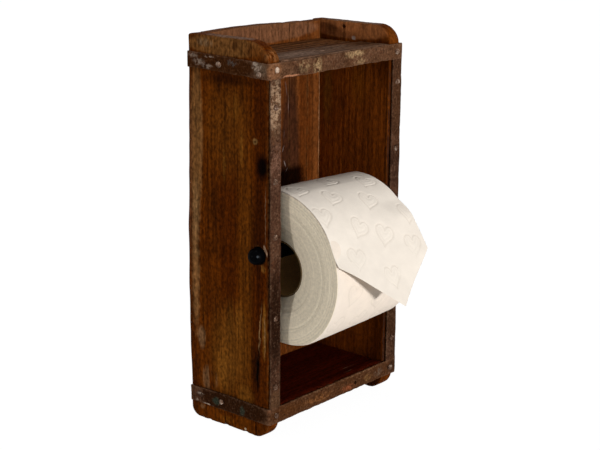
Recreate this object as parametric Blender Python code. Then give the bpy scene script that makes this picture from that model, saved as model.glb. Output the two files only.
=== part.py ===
"""Toilet roll holder made like an old brick mould: a tall wooden box with an open front.

Two full-height side boards carry a top shelf, a bottom board and a back of three planks.
Iron bands wrap the top and the bottom, and iron straps cover the front edges of the sides.
A black rod slides out through the left side board and carries the toilet roll.
"""

import math

import bmesh
import bpy
from mathutils import Vector

# Fits and finish shared by the whole holder
SEAT_GAP = 0.0003
CUT_OVERRUN = 0.002
WOOD_EDGE_ROUND = 0.0009
ARC_STEPS = 8

# The roll that the case is made round
ROLL_RADIUS = 0.0595
ROLL_LENGTH = 0.094
ROLL_END_SLANT = 0.005
ROLL_EDGE_ROUND = 0.0012
ROLL_AXIS_BEHIND_FRONT = 0.0096
ROLL_TO_BACK_CLEARANCE = 0.001
ROLL_TO_LEFT_BOARD_GAP = 0.0034
ROLL_TO_RIGHT_BOARD_GAP = 0.0254
ROLL_STEPS = 72
CORE_INNER_RADIUS = 0.0202
CORE_WALL = 0.001
CORE_STEPS = 48

# The loose end of the paper, folded to a point
SHEET_THICKNESS = 0.0006
SHEET_REST_ARC_DEG = 30
SHEET_LEAVE_DEG = 57.3
SHEET_FREE_LENGTH = 0.062
SHEET_LEFT_FOLD_START = 0.021
SHEET_RIGHT_FOLD_START = 0.0255
SHEET_POINT_ACROSS_SHARE = 0.5
SHEET_FLAP_INSET_SHARE = 0.03
SHEET_ARC_STEPS = 14

# The case, as wide and as deep inside as the roll and its gaps
CASE_HEIGHT = 0.293
SIDE_BOARD_THICKNESS = 0.0115
BACK_THICKNESS = 0.0097
SHELF_THICKNESS = 0.0118
SHELF_FRONT_PLANK_DEPTH = 0.029
SHELF_REAR_PLANK_DROP = 0.0012
BOTTOM_BOARD_THICKNESS = 0.0125
FOOT_HEIGHT = 0.0127
GALLERY_HEIGHT = 0.0134
GALLERY_FRONT_RADIUS = 0.0134
GALLERY_BACK_RADIUS = 0.002
FOOT_FRONT_RADIUS = 0.0143
FOOT_BACK_RADIUS = 0.008
BACK_TOP_DROP = 0.0008
BACK_JOINT_SHARES = (0.411, 0.756)

# The ironwork
BAND_THICKNESS = 0.0018
TOP_BAND_HEIGHT = 0.012
BOTTOM_BAND_HEIGHT = 0.013
BAND_BEND_RADIUS = 0.0027
BAND_END_SHORT_OF_BACK = 0.001
STRAP_THICKNESS = 0.0018
STRAP_SETBACK = 0.0004
STRAP_OUTER_SETBACK = 0.0008
LEFT_STRAP_WIDTH = 0.0125
RIGHT_STRAP_WIDTH = 0.0108
STRAP_EDGE_ROUND = 0.0004
BEND_STEPS = 4

# The rod
ROD_RADIUS = 0.0062
ROD_CLEARANCE = 0.0003
ROD_HOLE_TO_FRONT_EDGE = 0.0032
ROD_ABOVE_FEET = 0.1402
ROD_STICKOUT = 0.0085
ROD_SEAT_FLOOR = 0.0032
ROD_END_CHAMFER = 0.0008
ROD_STEPS = 40

# The nails
NAIL_SHANK_RADIUS = 0.0011
NAIL_CLEARANCE = 0.0003
NAIL_HEAD_RADIUS = 0.0022
NAIL_HEAD_HEIGHT = 0.0009
NAIL_HEAD_RIM = 0.0003
NAIL_TIP = 0.0015
NAIL_STEPS = 12
NAIL_HEAD_STEPS = 3
STRAP_NAIL_LENGTH = 0.014
CORNER_NAIL_LENGTH = 0.016
SIDE_NAIL_LENGTH = 0.023
BACK_NAIL_LENGTH = 0.021
BACK_NAIL_SINK = 0.0008
SIDE_NAIL_FRONT = 0.0095
SIDE_NAIL_AHEAD_OF_WALL = 0.0322
SIDE_NAIL_FRONT_DROP = 0.0034
EMPTY_NAIL_HOLE_SHARE = 0.404
EMPTY_NAIL_HOLE_DROP = 0.001
OLD_GALLERY_HOLE_DEPTH = 0.006
OLD_GALLERY_HOLE_AHEAD_OF_WALL = 0.0329
OLD_GALLERY_HOLE_BELOW_TOP = 0.004
ROD_TO_NAIL_WOOD = 0.0006

# The strap nails, as shares of the stretches of strap below the rod and above it
LEFT_NAILS_BELOW_SHARES = (0.146, 0.646)
LEFT_NAILS_ABOVE_SHARES = (0.052, 0.390, 0.833)
RIGHT_NAILS_BELOW_SHARES = (0.167, 0.913)
RIGHT_NAILS_ABOVE_SHARES = (0.424, 0.858)

# Places worked out from the sizes above, in the case's own frame:
# x from the middle, y back from the front of the bands, z up from the feet
side_inner = (ROLL_TO_LEFT_BOARD_GAP + ROLL_LENGTH + ROLL_TO_RIGHT_BOARD_GAP) / 2
side_outer = side_inner + SIDE_BOARD_THICKNESS
half_width = side_outer + SEAT_GAP + BAND_THICKNESS
inside_half = side_inner - SEAT_GAP
side_front = STRAP_SETBACK + STRAP_THICKNESS + SEAT_GAP
end_front = BAND_THICKNESS + SEAT_GAP
back_front = (
    ROLL_AXIS_BEHIND_FRONT + ROLL_RADIUS + SEAT_GAP + SHEET_THICKNESS + ROLL_TO_BACK_CLEARANCE
)
case_depth = back_front + BACK_THICKNESS
top_band_top = CASE_HEIGHT - GALLERY_HEIGHT
top_band_bottom = top_band_top - TOP_BAND_HEIGHT
bottom_band_top = FOOT_HEIGHT + BOTTOM_BAND_HEIGHT
shelf_bottom = top_band_top - SHELF_THICKNESS
floor_bottom = FOOT_HEIGHT + SEAT_GAP
floor_top = floor_bottom + BOTTOM_BOARD_THICKNESS
top_band_middle = (top_band_top + top_band_bottom) / 2
bottom_band_middle = (FOOT_HEIGHT + bottom_band_top) / 2
nail_hole_radius = NAIL_SHANK_RADIUS + NAIL_CLEARANCE

rod_hole_radius = ROD_RADIUS + ROD_CLEARANCE
rod_y = side_front + ROD_HOLE_TO_FRONT_EDGE + rod_hole_radius
rod_seat_depth = SIDE_BOARD_THICKNESS - ROD_SEAT_FLOOR
rod_to_nail = rod_hole_radius + ROD_TO_NAIL_WOOD + nail_hole_radius
side_nail_rear = case_depth - SIDE_NAIL_AHEAD_OF_WALL
back_joints = [share * inside_half for share in BACK_JOINT_SHARES]
roll_ahead_of_rod = rod_y - ROLL_AXIS_BEHIND_FRONT
core_hang = CORE_INNER_RADIUS - ROD_RADIUS - SEAT_GAP
roll_z = ROD_ABOVE_FEET - math.sqrt(core_hang**2 - roll_ahead_of_rod**2)
roll_left = -side_inner + ROLL_TO_LEFT_BOARD_GAP
roll_middle = roll_left + ROLL_LENGTH / 2


def start_empty_scene():
    """Remove whatever the scene holds, so the holder stands alone in it."""
    for old in list(bpy.data.objects):
        bpy.data.objects.remove(old, do_unlink=True)


def principled(name, colour, roughness, metallic=0.0):
    """A Principled material with one colour."""
    material = bpy.data.materials.new(name)
    material.use_nodes = True
    shader = material.node_tree.nodes["Principled BSDF"]
    shader.inputs["Base Color"].default_value = (*colour, 1.0)
    shader.inputs["Roughness"].default_value = roughness
    shader.inputs["Metallic"].default_value = metallic
    material.diffuse_color = (*colour, 1.0)
    return material


def frame_empty(name, place, parent=None):
    """An empty that marks a reference point or the axis of a joint."""
    empty = bpy.data.objects.new(name, None)
    empty.location = place
    empty.parent = parent
    bpy.context.scene.collection.objects.link(empty)
    return empty


def object_from(bm, name, parent, material=None, smooth_deg=None):
    """Turn a finished bmesh into a named object under its parent."""
    bmesh.ops.recalc_face_normals(bm, faces=bm.faces)
    mesh = bpy.data.meshes.new(name)
    bm.to_mesh(mesh)
    bm.free()
    if smooth_deg is not None:
        mesh.shade_smooth()
        mesh.set_sharp_from_angle(angle=math.radians(smooth_deg))
    if material is not None:
        mesh.materials.append(material)
    obj = bpy.data.objects.new(name, mesh)
    obj.parent = parent
    bpy.context.scene.collection.objects.link(obj)
    return obj


def hide_tool(obj):
    """Mark a cutter or a joined-on shape as a tool that is not a piece of the holder."""
    obj.hide_render = True
    obj.display_type = "WIRE"


def round_edges(obj, width):
    """Break the sharp edges as wear does."""
    bevel = obj.modifiers.new("worn_edges", "BEVEL")
    bevel.width = width
    bevel.segments = 1
    bevel.limit_method = "ANGLE"
    bevel.angle_limit = math.radians(40)


def filleted(corners, steps):
    """A convex outline of (u, v, radius) corners, with each corner as an arc."""
    points = []
    for index, (u, v, radius) in enumerate(corners):
        here = Vector((u, v))
        before = Vector(corners[index - 1][:2]) - here
        after = Vector(corners[(index + 1) % len(corners)][:2]) - here
        half = before.angle(after) / 2
        middle = (before.normalized() + after.normalized()).normalized()
        centre = here + middle * (radius / math.sin(half))
        start = here + before.normalized() * (radius / math.tan(half)) - centre
        turn = start.angle_signed(here + after.normalized() * (radius / math.tan(half)) - centre)
        for step in range(steps + 1):
            angle = -turn * step / steps
            arm = Vector((
                start.x * math.cos(angle) - start.y * math.sin(angle),
                start.x * math.sin(angle) + start.y * math.cos(angle),
            ))
            points.append(centre + arm)
    return points


def board_across(name, outline, low_x, high_x, parent, material):
    """A board whose side view is an outline of (y, z) points, as thick as low_x to high_x."""
    bm = bmesh.new()
    ring = [bm.verts.new((low_x, y, z)) for y, z in outline]
    face = bm.faces.new(ring)
    pushed = bmesh.ops.extrude_face_region(bm, geom=[face])
    moved = [item for item in pushed["geom"] if isinstance(item, bmesh.types.BMVert)]
    bmesh.ops.translate(bm, verts=moved, vec=(high_x - low_x, 0, 0))
    board = object_from(bm, name, parent, material)
    round_edges(board, WOOD_EDGE_ROUND)
    return board


def straight_board(name, low, high, parent, material, edge=WOOD_EDGE_ROUND):
    """A straight board between two opposite corners."""
    low, high = Vector(low), Vector(high)
    bm = bmesh.new()
    bmesh.ops.create_cube(bm, size=1)
    bmesh.ops.scale(bm, vec=high - low, verts=bm.verts)
    bmesh.ops.translate(bm, vec=(low + high) / 2, verts=bm.verts)
    board = object_from(bm, name, parent, material)
    round_edges(board, edge)
    return board


def turned(name, profile, steps, parent, material=None, ring=False, smooth_deg=35):
    """Turn a profile of (radius, height) points about the local z axis; a ring's profile is closed."""
    bm = bmesh.new()
    verts = [bm.verts.new((radius, 0, height)) for radius, height in profile]
    pairs = list(zip(verts, verts[1:]))
    if ring:
        pairs.append((verts[-1], verts[0]))
    edges = [bm.edges.new(pair) for pair in pairs]
    bmesh.ops.spin(
        bm, geom=verts + edges, cent=(0, 0, 0), axis=(0, 0, 1),
        angle=math.tau, steps=steps, use_merge=True,
    )
    bmesh.ops.remove_doubles(bm, verts=bm.verts, dist=NAIL_HEAD_RIM / 100)
    return object_from(bm, name, parent, material, smooth_deg)


def lay_along_x(obj):
    """Turn a piece that was made upright so that its axis lies along the case's width."""
    obj.rotation_euler = (0, math.pi / 2, 0)


def drill_bits(name, holes, steps, parent):
    """One cutter made of a straight bit for each (mouth, direction, depth, radius) hole."""
    bm = bmesh.new()
    for mouth, direction, depth, radius in holes:
        along = Vector(direction)
        turn = Vector((0, 0, 1)).rotation_difference(along).to_matrix()
        made = bmesh.ops.create_cone(
            bm, cap_ends=True, segments=steps, radius1=radius, radius2=radius,
            depth=depth + CUT_OVERRUN,
        )
        bmesh.ops.rotate(bm, verts=made["verts"], cent=(0, 0, 0), matrix=turn)
        middle = Vector(mouth) + along * (depth - CUT_OVERRUN) / 2
        bmesh.ops.translate(bm, verts=made["verts"], vec=middle)
    bits = object_from(bm, name, parent)
    hide_tool(bits)
    return bits


def drill(board, holes, steps=NAIL_STEPS):
    """Cut holes into a board."""
    bits = drill_bits(f"bits_{board.name}_{len(board.modifiers)}", holes, steps, board.parent)
    cut = board.modifiers.new("drilled", "BOOLEAN")
    cut.operation = "DIFFERENCE"
    cut.solver = "EXACT"
    cut.object = bits


def iron_band(name, low_z, height, parent, material):
    """A flat iron band bent round the left side, the front and the right side."""
    arm_end = case_depth - BAND_END_SHORT_OF_BACK
    bend_inside = BAND_BEND_RADIUS - BAND_THICKNESS
    outside, inside = [(-half_width, arm_end)], [(-half_width + BAND_THICKNESS, arm_end)]
    for side in (-1, 1):
        centre_x = side * (half_width - BAND_BEND_RADIUS)
        for step in range(BEND_STEPS + 1):
            share = step / BEND_STEPS if side < 0 else 1 - step / BEND_STEPS
            angle = share * math.pi / 2
            across, ahead = side * math.cos(angle), math.sin(angle)
            for radius, path in ((BAND_BEND_RADIUS, outside), (bend_inside, inside)):
                path.append((centre_x + radius * across, BAND_BEND_RADIUS - radius * ahead))
    outside.append((half_width, arm_end))
    inside.append((half_width - BAND_THICKNESS, arm_end))
    bm = bmesh.new()
    outer = [bm.verts.new((x, y, low_z)) for x, y in outside]
    inner = [bm.verts.new((x, y, low_z)) for x, y in inside]
    flats = [
        bm.faces.new((outer[i], outer[i + 1], inner[i + 1], inner[i]))
        for i in range(len(outer) - 1)
    ]
    pushed = bmesh.ops.extrude_face_region(bm, geom=flats)
    moved = [item for item in pushed["geom"] if isinstance(item, bmesh.types.BMVert)]
    bmesh.ops.translate(bm, verts=moved, vec=(0, 0, height))
    return object_from(bm, name, parent, material)


class Nail:
    """A round-headed nail: where its head sits, which way it goes in, and how long it is."""

    def __init__(self, name, place, inward, length):
        self.name = name
        self.place = Vector(place)
        self.inward = Vector(inward)
        self.length = length

    def hole(self):
        """The hole that the nail needs, a little deeper than its tip."""
        return (self.place, self.inward, self.length + NAIL_CLEARANCE, nail_hole_radius)

    def make(self, parent, material):
        head_low = -SEAT_GAP
        profile = [(0, self.length), (NAIL_SHANK_RADIUS, self.length - NAIL_TIP)]
        profile.append((NAIL_SHANK_RADIUS, head_low))
        profile.append((NAIL_HEAD_RADIUS, head_low))
        profile.append((NAIL_HEAD_RADIUS, head_low - NAIL_HEAD_RIM))
        dome = NAIL_HEAD_HEIGHT - NAIL_HEAD_RIM
        for step in range(1, NAIL_HEAD_STEPS):
            angle = step / NAIL_HEAD_STEPS * math.pi / 2
            radius = NAIL_HEAD_RADIUS * math.cos(angle)
            profile.append((radius, head_low - NAIL_HEAD_RIM - dome * math.sin(angle)))
        profile.append((0, head_low - NAIL_HEAD_HEIGHT))
        nail = turned(self.name, profile, NAIL_STEPS, parent, material)
        nail.rotation_mode = "QUATERNION"
        nail.rotation_quaternion = Vector((0, 0, 1)).rotation_difference(self.inward)
        nail.location = self.place
        return nail


def strap_nails(side_name, x, below_shares, above_shares):
    """The nails up one front strap, which keep clear of the rod behind it."""
    low, high = bottom_band_top + SEAT_GAP, ROD_ABOVE_FEET - rod_to_nail
    heights = [low + share * (high - low) for share in below_shares]
    low, high = ROD_ABOVE_FEET + rod_to_nail, top_band_bottom - SEAT_GAP
    heights += [low + share * (high - low) for share in above_shares]
    return [
        Nail(
            f"nail_{side_name}_strap_{number}",
            (x, STRAP_SETBACK, height), (0, 1, 0), STRAP_NAIL_LENGTH,
        )
        for number, height in enumerate(heights, start=1)
    ]


def sheet_outline():
    """The folded loose end, flat: (across, along) points from where it leaves the roll."""
    left, right = -ROLL_LENGTH / 2, ROLL_LENGTH / 2
    point = left + SHEET_POINT_ACROSS_SHARE * ROLL_LENGTH
    return {
        "left": Vector((left, SHEET_LEFT_FOLD_START)),
        "right": Vector((right, SHEET_RIGHT_FOLD_START)),
        "point": Vector((point, SHEET_FREE_LENGTH)),
    }


def sheet_place(across, along, lift):
    """A point of the straight loose end, about the roll's axis, lifted off its inner face."""
    leave = math.radians(SHEET_LEAVE_DEG)
    radius = ROLL_RADIUS + SEAT_GAP + lift
    return Vector((
        across,
        -radius * math.sin(leave) - along * math.cos(leave),
        radius * math.cos(leave) - along * math.sin(leave),
    ))


def fold_flap(name, corner, point, parent):
    """The corner of the paper folded back under the loose end along the line to its point."""
    sheet_corner = Vector((corner.x, point.y))
    fold = (point - corner).normalized()
    reach = sheet_corner - corner
    turned_in = corner + 2 * fold * reach.dot(fold) - reach
    flat = [corner, point, turned_in]
    middle = sum(flat, Vector((0, 0))) / len(flat)
    flat = [spot.lerp(middle, SHEET_FLAP_INSET_SHARE) for spot in flat]
    bm = bmesh.new()
    under = [bm.verts.new(sheet_place(*spot, -SHEET_THICKNESS)) for spot in flat]
    over = [bm.verts.new(sheet_place(*spot, SHEET_THICKNESS / 2)) for spot in flat]
    bm.faces.new(under)
    bm.faces.new(over)
    for index in range(len(flat)):
        after = (index + 1) % len(flat)
        bm.faces.new((under[index], under[after], over[after], over[index]))
    flap = object_from(bm, name, parent)
    hide_tool(flap)
    return flap


def join_on(obj, extra):
    """Make a second shape part of the same solid."""
    union = obj.modifiers.new("joined", "BOOLEAN")
    union.operation = "UNION"
    union.solver = "EXACT"
    union.object = extra


def loose_sheet(name, parent, material):
    """The paper's end: it lies on the roll's top, leaves it in a straight line and ends in a point."""
    left, right = -ROLL_LENGTH / 2, ROLL_LENGTH / 2
    rest, leave = math.radians(-SHEET_REST_ARC_DEG), math.radians(SHEET_LEAVE_DEG)
    layers = []
    bm = bmesh.new()
    outline = sheet_outline()
    for lift in (0, SHEET_THICKNESS):
        radius = ROLL_RADIUS + SEAT_GAP + lift
        rows = []
        for step in range(SHEET_ARC_STEPS + 1):
            angle = rest + (leave - rest) * step / SHEET_ARC_STEPS
            y, z = -radius * math.sin(angle), radius * math.cos(angle)
            rows.append([bm.verts.new((x, y, z)) for x in (left, right)])
        ends = [outline["left"], outline["right"]]
        rows.append([bm.verts.new(sheet_place(*spot, lift)) for spot in ends])
        layers.append((rows, bm.verts.new(sheet_place(*outline["point"], lift))))
    for rows, point in layers:
        for upper, lower in zip(rows, rows[1:]):
            bm.faces.new((upper[0], upper[1], lower[1], lower[0]))
        bm.faces.new((rows[-1][0], rows[-1][1], point))
    (inner, inner_point), (outer, outer_point) = layers
    for side in (0, 1):
        inner_edge = [row[side] for row in inner] + [inner_point]
        outer_edge = [row[side] for row in outer] + [outer_point]
        for index in range(len(inner_edge) - 1):
            bm.faces.new((
                inner_edge[index], inner_edge[index + 1],
                outer_edge[index + 1], outer_edge[index],
            ))
    bm.faces.new((*inner[0], *reversed(outer[0])))
    sheet = object_from(bm, name, parent, material, smooth_deg=35)
    for side in ("left", "right"):
        flap = fold_flap(f"flap_{side}", outline[side], outline["point"], parent)
        join_on(sheet, flap)
    return sheet


def make_sides(case, wood):
    """The two full-height side boards, mirror images apart from their rod holes."""
    outline = filleted(
        [
            (side_front, 0, FOOT_FRONT_RADIUS),
            (case_depth, 0, FOOT_BACK_RADIUS),
            (case_depth, CASE_HEIGHT, GALLERY_BACK_RADIUS),
            (side_front, CASE_HEIGHT, GALLERY_FRONT_RADIUS),
        ],
        ARC_STEPS,
    )
    left = board_across("left_side_board", outline, -side_outer, -side_inner, case, wood)
    right = board_across("right_side_board", outline, side_inner, side_outer, case, wood)
    rod_hole = ((-side_outer, rod_y, ROD_ABOVE_FEET), (1, 0, 0))
    drill(left, [(*rod_hole, SIDE_BOARD_THICKNESS + CUT_OVERRUN, rod_hole_radius)], ROD_STEPS)
    rod_seat = ((side_inner, rod_y, ROD_ABOVE_FEET), (1, 0, 0))
    drill(right, [(*rod_seat, rod_seat_depth, rod_hole_radius)], ROD_STEPS)
    old_hole_y = case_depth - OLD_GALLERY_HOLE_AHEAD_OF_WALL
    old_hole = (side_inner, old_hole_y, CASE_HEIGHT - OLD_GALLERY_HOLE_BELOW_TOP)
    drill(right, [(old_hole, (1, 0, 0), OLD_GALLERY_HOLE_DEPTH, nail_hole_radius)])
    return left, right


def make_shelf(case, wood):
    """The top shelf: a worn front plank and a rear plank that sits a little lower."""
    split = end_front + SHELF_FRONT_PLANK_DEPTH
    front = straight_board(
        "shelf_front_plank",
        (-inside_half, end_front, shelf_bottom),
        (inside_half, split, top_band_top),
        case, wood,
    )
    rear = straight_board(
        "shelf_rear_plank",
        (-inside_half, split + SEAT_GAP, shelf_bottom),
        (inside_half, back_front - SEAT_GAP, top_band_top - SHELF_REAR_PLANK_DROP),
        case, wood,
    )
    return front, rear


def make_back(case, wood):
    """The back: three upright planks between the side boards."""
    joints = (-inside_half, *back_joints, inside_half + SEAT_GAP)
    names = ("back_plank_left", "back_plank_middle", "back_plank_right")
    return [
        straight_board(
            name,
            (low, back_front, FOOT_HEIGHT),
            (high - SEAT_GAP, case_depth, CASE_HEIGHT - BACK_TOP_DROP),
            case, wood,
        )
        for name, low, high in zip(names, joints, joints[1:])
    ]


def make_straps(case, iron):
    """The iron straps nailed to the front edges of the side boards, between the bands."""
    low_z, high_z = bottom_band_top + SEAT_GAP, top_band_bottom - SEAT_GAP
    outer = half_width - STRAP_OUTER_SETBACK
    spans = {
        "left_front_strap": (-outer, -outer + LEFT_STRAP_WIDTH),
        "right_front_strap": (outer - RIGHT_STRAP_WIDTH, outer),
    }
    return [
        straight_board(
            name,
            (low_x, STRAP_SETBACK, low_z),
            (high_x, STRAP_SETBACK + STRAP_THICKNESS, high_z),
            case, iron, STRAP_EDGE_ROUND,
        )
        for name, (low_x, high_x) in spans.items()
    ]


def make_roll(roll_axis, paper, card):
    """The toilet roll: wound paper whose layers have slipped sideways a little, on a card core."""
    half = ROLL_LENGTH / 2
    inner = CORE_INNER_RADIUS + CORE_WALL + SEAT_GAP
    slip = ROLL_END_SLANT
    edge = ROLL_EDGE_ROUND
    profile = [
        (inner, -half + slip),
        (ROLL_RADIUS - edge, -half),
        (ROLL_RADIUS, -half + edge),
        (ROLL_RADIUS, half - edge),
        (ROLL_RADIUS - edge, half),
        (inner, half + slip),
    ]
    roll = turned("paper_roll", profile, ROLL_STEPS, roll_axis, paper, ring=True)
    lay_along_x(roll)
    core_profile = [
        (CORE_INNER_RADIUS, -half + slip),
        (CORE_INNER_RADIUS + CORE_WALL, -half + slip),
        (CORE_INNER_RADIUS + CORE_WALL, half + slip),
        (CORE_INNER_RADIUS, half + slip),
    ]
    core = turned("cardboard_core", core_profile, CORE_STEPS, roll_axis, card, ring=True)
    lay_along_x(core)


def make_rod(rod_axis, black):
    """The rod: a plain bar with a ball end that sticks out at the left."""
    left_end = -(side_outer + ROD_STICKOUT)
    right_end = side_inner + rod_seat_depth - SEAT_GAP
    profile = [(0, left_end)]
    ball_steps = ROD_STEPS // 4
    for step in range(1, ball_steps + 1):
        angle = step / ball_steps * math.pi / 2
        radius = ROD_RADIUS * math.sin(angle)
        profile.append((radius, left_end + ROD_RADIUS * (1 - math.cos(angle))))
    profile.append((ROD_RADIUS, right_end - ROD_END_CHAMFER))
    profile.append((ROD_RADIUS - ROD_END_CHAMFER, right_end))
    profile.append((0, right_end))
    rod = turned("roll_rod", profile, ROD_STEPS, rod_axis, black)
    lay_along_x(rod)


def make_nails():
    """Every nail, grouped by the pieces that it goes through."""
    left_strap_x = -(half_width - STRAP_OUTER_SETBACK) + LEFT_STRAP_WIDTH / 2
    right_strap_x = half_width - STRAP_OUTER_SETBACK - RIGHT_STRAP_WIDTH / 2
    nails = {
        "left_strap": strap_nails(
            "left", left_strap_x, LEFT_NAILS_BELOW_SHARES, LEFT_NAILS_ABOVE_SHARES
        ),
        "right_strap": strap_nails(
            "right", right_strap_x, RIGHT_NAILS_BELOW_SHARES, RIGHT_NAILS_ABOVE_SHARES
        ),
    }
    corner_x = {"left": -(side_outer + side_inner) / 2, "right": (side_outer + side_inner) / 2}
    bands = {"top": top_band_middle, "bottom": bottom_band_middle}
    for band, middle in bands.items():
        for side, x in corner_x.items():
            name = f"nail_{band}_band_{side}_corner"
            nails[f"{band}_{side}_corner"] = [
                Nail(name, (x, 0, middle), (0, 1, 0), CORNER_NAIL_LENGTH)
            ]
            out = math.copysign(half_width, x)
            inward = (-math.copysign(1, x), 0, 0)
            rear = Nail(
                f"nail_{band}_band_{side}_rear",
                (out, side_nail_rear, middle), inward, SIDE_NAIL_LENGTH,
            )
            nails[f"{band}_{side}_rear"] = [rear]
            if band == "top":
                front = Nail(
                    f"nail_{band}_band_{side}_front",
                    (out, SIDE_NAIL_FRONT, middle - SIDE_NAIL_FRONT_DROP),
                    inward, SIDE_NAIL_LENGTH,
                )
                nails[f"{band}_{side}_front"] = [front]
    joints = (-inside_half, *back_joints, inside_half)
    ends = {
        "top": (shelf_bottom + top_band_top - SHELF_REAR_PLANK_DROP) / 2,
        "bottom": (floor_bottom + floor_top) / 2,
    }
    for plank, low, high in zip(("left", "middle", "right"), joints, joints[1:]):
        for end, z in ends.items():
            sunk = (low / 2 + high / 2, case_depth - BACK_NAIL_SINK - NAIL_HEAD_HEIGHT, z)
            name = f"nail_back_{plank}_{end}"
            nails[f"back_{plank}_{end}"] = [Nail(name, sunk, (0, -1, 0), BACK_NAIL_LENGTH)]
    return nails


def sink_pocket(nail):
    """The pocket that lets a back nail's head lie below the wall face."""
    depth = NAIL_HEAD_HEIGHT + BACK_NAIL_SINK
    mouth = Vector((nail.place.x, case_depth, nail.place.z))
    return (mouth, nail.inward, depth, NAIL_HEAD_RADIUS + NAIL_CLEARANCE)


def drill_for(board, nails, keys):
    """Drill a board for the nails in the named groups."""
    drill(board, [nail.hole() for key in keys for nail in nails[key]])


def build():
    start_empty_scene()
    side_wood = principled("side_wood", (0.105, 0.044, 0.016), 0.55)
    back_wood = principled("back_wood", (0.125, 0.047, 0.021), 0.6)
    shelf_wood = principled("shelf_wood", (0.090, 0.047, 0.032), 0.6)
    floor_wood = principled("floor_wood", (0.040, 0.014, 0.007), 0.55)
    band_iron = principled("band_iron", (0.115, 0.075, 0.055), 0.7, 0.5)
    strap_iron = principled("strap_iron", (0.120, 0.072, 0.055), 0.68, 0.5)
    nail_iron = principled("nail_iron", (0.260, 0.190, 0.150), 0.5, 0.8)
    rod_black = principled("rod_black", (0.006, 0.006, 0.007), 0.25, 0.3)
    roll_paper = principled("roll_paper", (0.800, 0.750, 0.680), 0.9)
    sheet_paper = principled("sheet_paper", (0.830, 0.780, 0.700), 0.9)
    core_card = principled("core_card", (0.180, 0.150, 0.095), 0.9)

    case = frame_empty("case_frame", (0, -case_depth, -CASE_HEIGHT / 2))
    rod_axis = frame_empty("rod_axis", (0, rod_y, ROD_ABOVE_FEET), case)
    roll_axis = frame_empty("roll_axis", (roll_middle, ROLL_AXIS_BEHIND_FRONT, roll_z), case)

    left, right = make_sides(case, side_wood)
    shelf_front, shelf_rear = make_shelf(case, shelf_wood)
    floor = straight_board(
        "bottom_board",
        (-inside_half, end_front, floor_bottom),
        (inside_half, back_front - SEAT_GAP, floor_top),
        case, floor_wood,
    )
    planks = make_back(case, back_wood)
    top_band = iron_band("top_iron_band", top_band_bottom, TOP_BAND_HEIGHT, case, band_iron)
    bottom_band = iron_band("bottom_iron_band", FOOT_HEIGHT, BOTTOM_BAND_HEIGHT, case, band_iron)
    left_strap, right_strap = make_straps(case, strap_iron)

    nails = make_nails()
    for group in nails.values():
        for nail in group:
            nail.make(case, nail_iron)

    for board, side in ((left, "left"), (right, "right")):
        keys = [f"{side}_strap", f"top_{side}_corner", f"bottom_{side}_corner"]
        keys += [f"top_{side}_front", f"top_{side}_rear", f"bottom_{side}_rear"]
        drill_for(board, nails, keys)
    drill_for(left_strap, nails, ["left_strap"])
    drill_for(right_strap, nails, ["right_strap"])
    drill_for(top_band, nails, [
        f"top_{side}_{place}" for side in ("left", "right") for place in ("corner", "front", "rear")
    ])
    drill_for(bottom_band, nails, [
        f"bottom_{side}_{place}" for side in ("left", "right") for place in ("corner", "rear")
    ])
    empty_hole_x = EMPTY_NAIL_HOLE_SHARE * inside_half
    empty_hole = (empty_hole_x, 0, bottom_band_middle - EMPTY_NAIL_HOLE_DROP)
    drill(bottom_band, [(empty_hole, (0, 1, 0), BAND_THICKNESS + CUT_OVERRUN, nail_hole_radius)])
    drill_for(shelf_front, nails, ["top_left_front", "top_right_front"])
    back_tops = [f"back_{plank}_top" for plank in ("left", "middle", "right")]
    back_bottoms = [f"back_{plank}_bottom" for plank in ("left", "middle", "right")]
    drill_for(shelf_rear, nails, ["top_left_rear", "top_right_rear", *back_tops])
    drill_for(floor, nails, ["bottom_left_rear", "bottom_right_rear", *back_bottoms])
    for plank, top_key, bottom_key in zip(planks, back_tops, back_bottoms):
        pair = nails[top_key] + nails[bottom_key]
        drill(plank, [sink_pocket(nail) for nail in pair])
        drill(plank, [nail.hole() for nail in pair])

    make_rod(rod_axis, rod_black)
    make_roll(roll_axis, roll_paper, core_card)
    loose_sheet("loose_sheet", roll_axis, sheet_paper)


build()
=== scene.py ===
# %% [markdown]
# A toilet roll holder made from an old wooden brick mould: two tall side boards, a shelf, a
# bottom board and a back of three planks, held by rusty iron bands and straps, with a black rod
# that carries the roll. This lesson dresses its CAD model in detailed pieces, one after another.
# The CAD model is loaded first, as a fixed frame: every new piece is placed by its boxes.

import math
from collections import namedtuple
from random import Random

import bmesh
import bpy
from mathutils import Matrix, Vector, noise
from mathutils.kdtree import KDTree


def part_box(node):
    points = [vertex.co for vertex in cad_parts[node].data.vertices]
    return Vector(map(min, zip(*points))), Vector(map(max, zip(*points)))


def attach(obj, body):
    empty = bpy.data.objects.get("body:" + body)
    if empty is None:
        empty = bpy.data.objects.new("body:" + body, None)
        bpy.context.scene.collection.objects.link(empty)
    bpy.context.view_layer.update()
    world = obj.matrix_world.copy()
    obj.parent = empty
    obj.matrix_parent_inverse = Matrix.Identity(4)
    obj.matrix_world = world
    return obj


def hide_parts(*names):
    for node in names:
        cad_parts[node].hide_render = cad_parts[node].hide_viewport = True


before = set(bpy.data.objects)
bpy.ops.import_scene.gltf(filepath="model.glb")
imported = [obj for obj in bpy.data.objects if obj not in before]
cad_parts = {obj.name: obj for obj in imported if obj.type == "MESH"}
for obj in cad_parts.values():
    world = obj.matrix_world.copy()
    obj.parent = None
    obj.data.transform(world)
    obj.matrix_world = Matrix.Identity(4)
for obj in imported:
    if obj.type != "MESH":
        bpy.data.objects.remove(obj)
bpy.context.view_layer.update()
MM = 0.001
X, Y, Z = 0, 1, 2
AXES = (Vector((1, 0, 0)), Vector((0, 1, 0)), Vector((0, 0, 1)))

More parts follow.
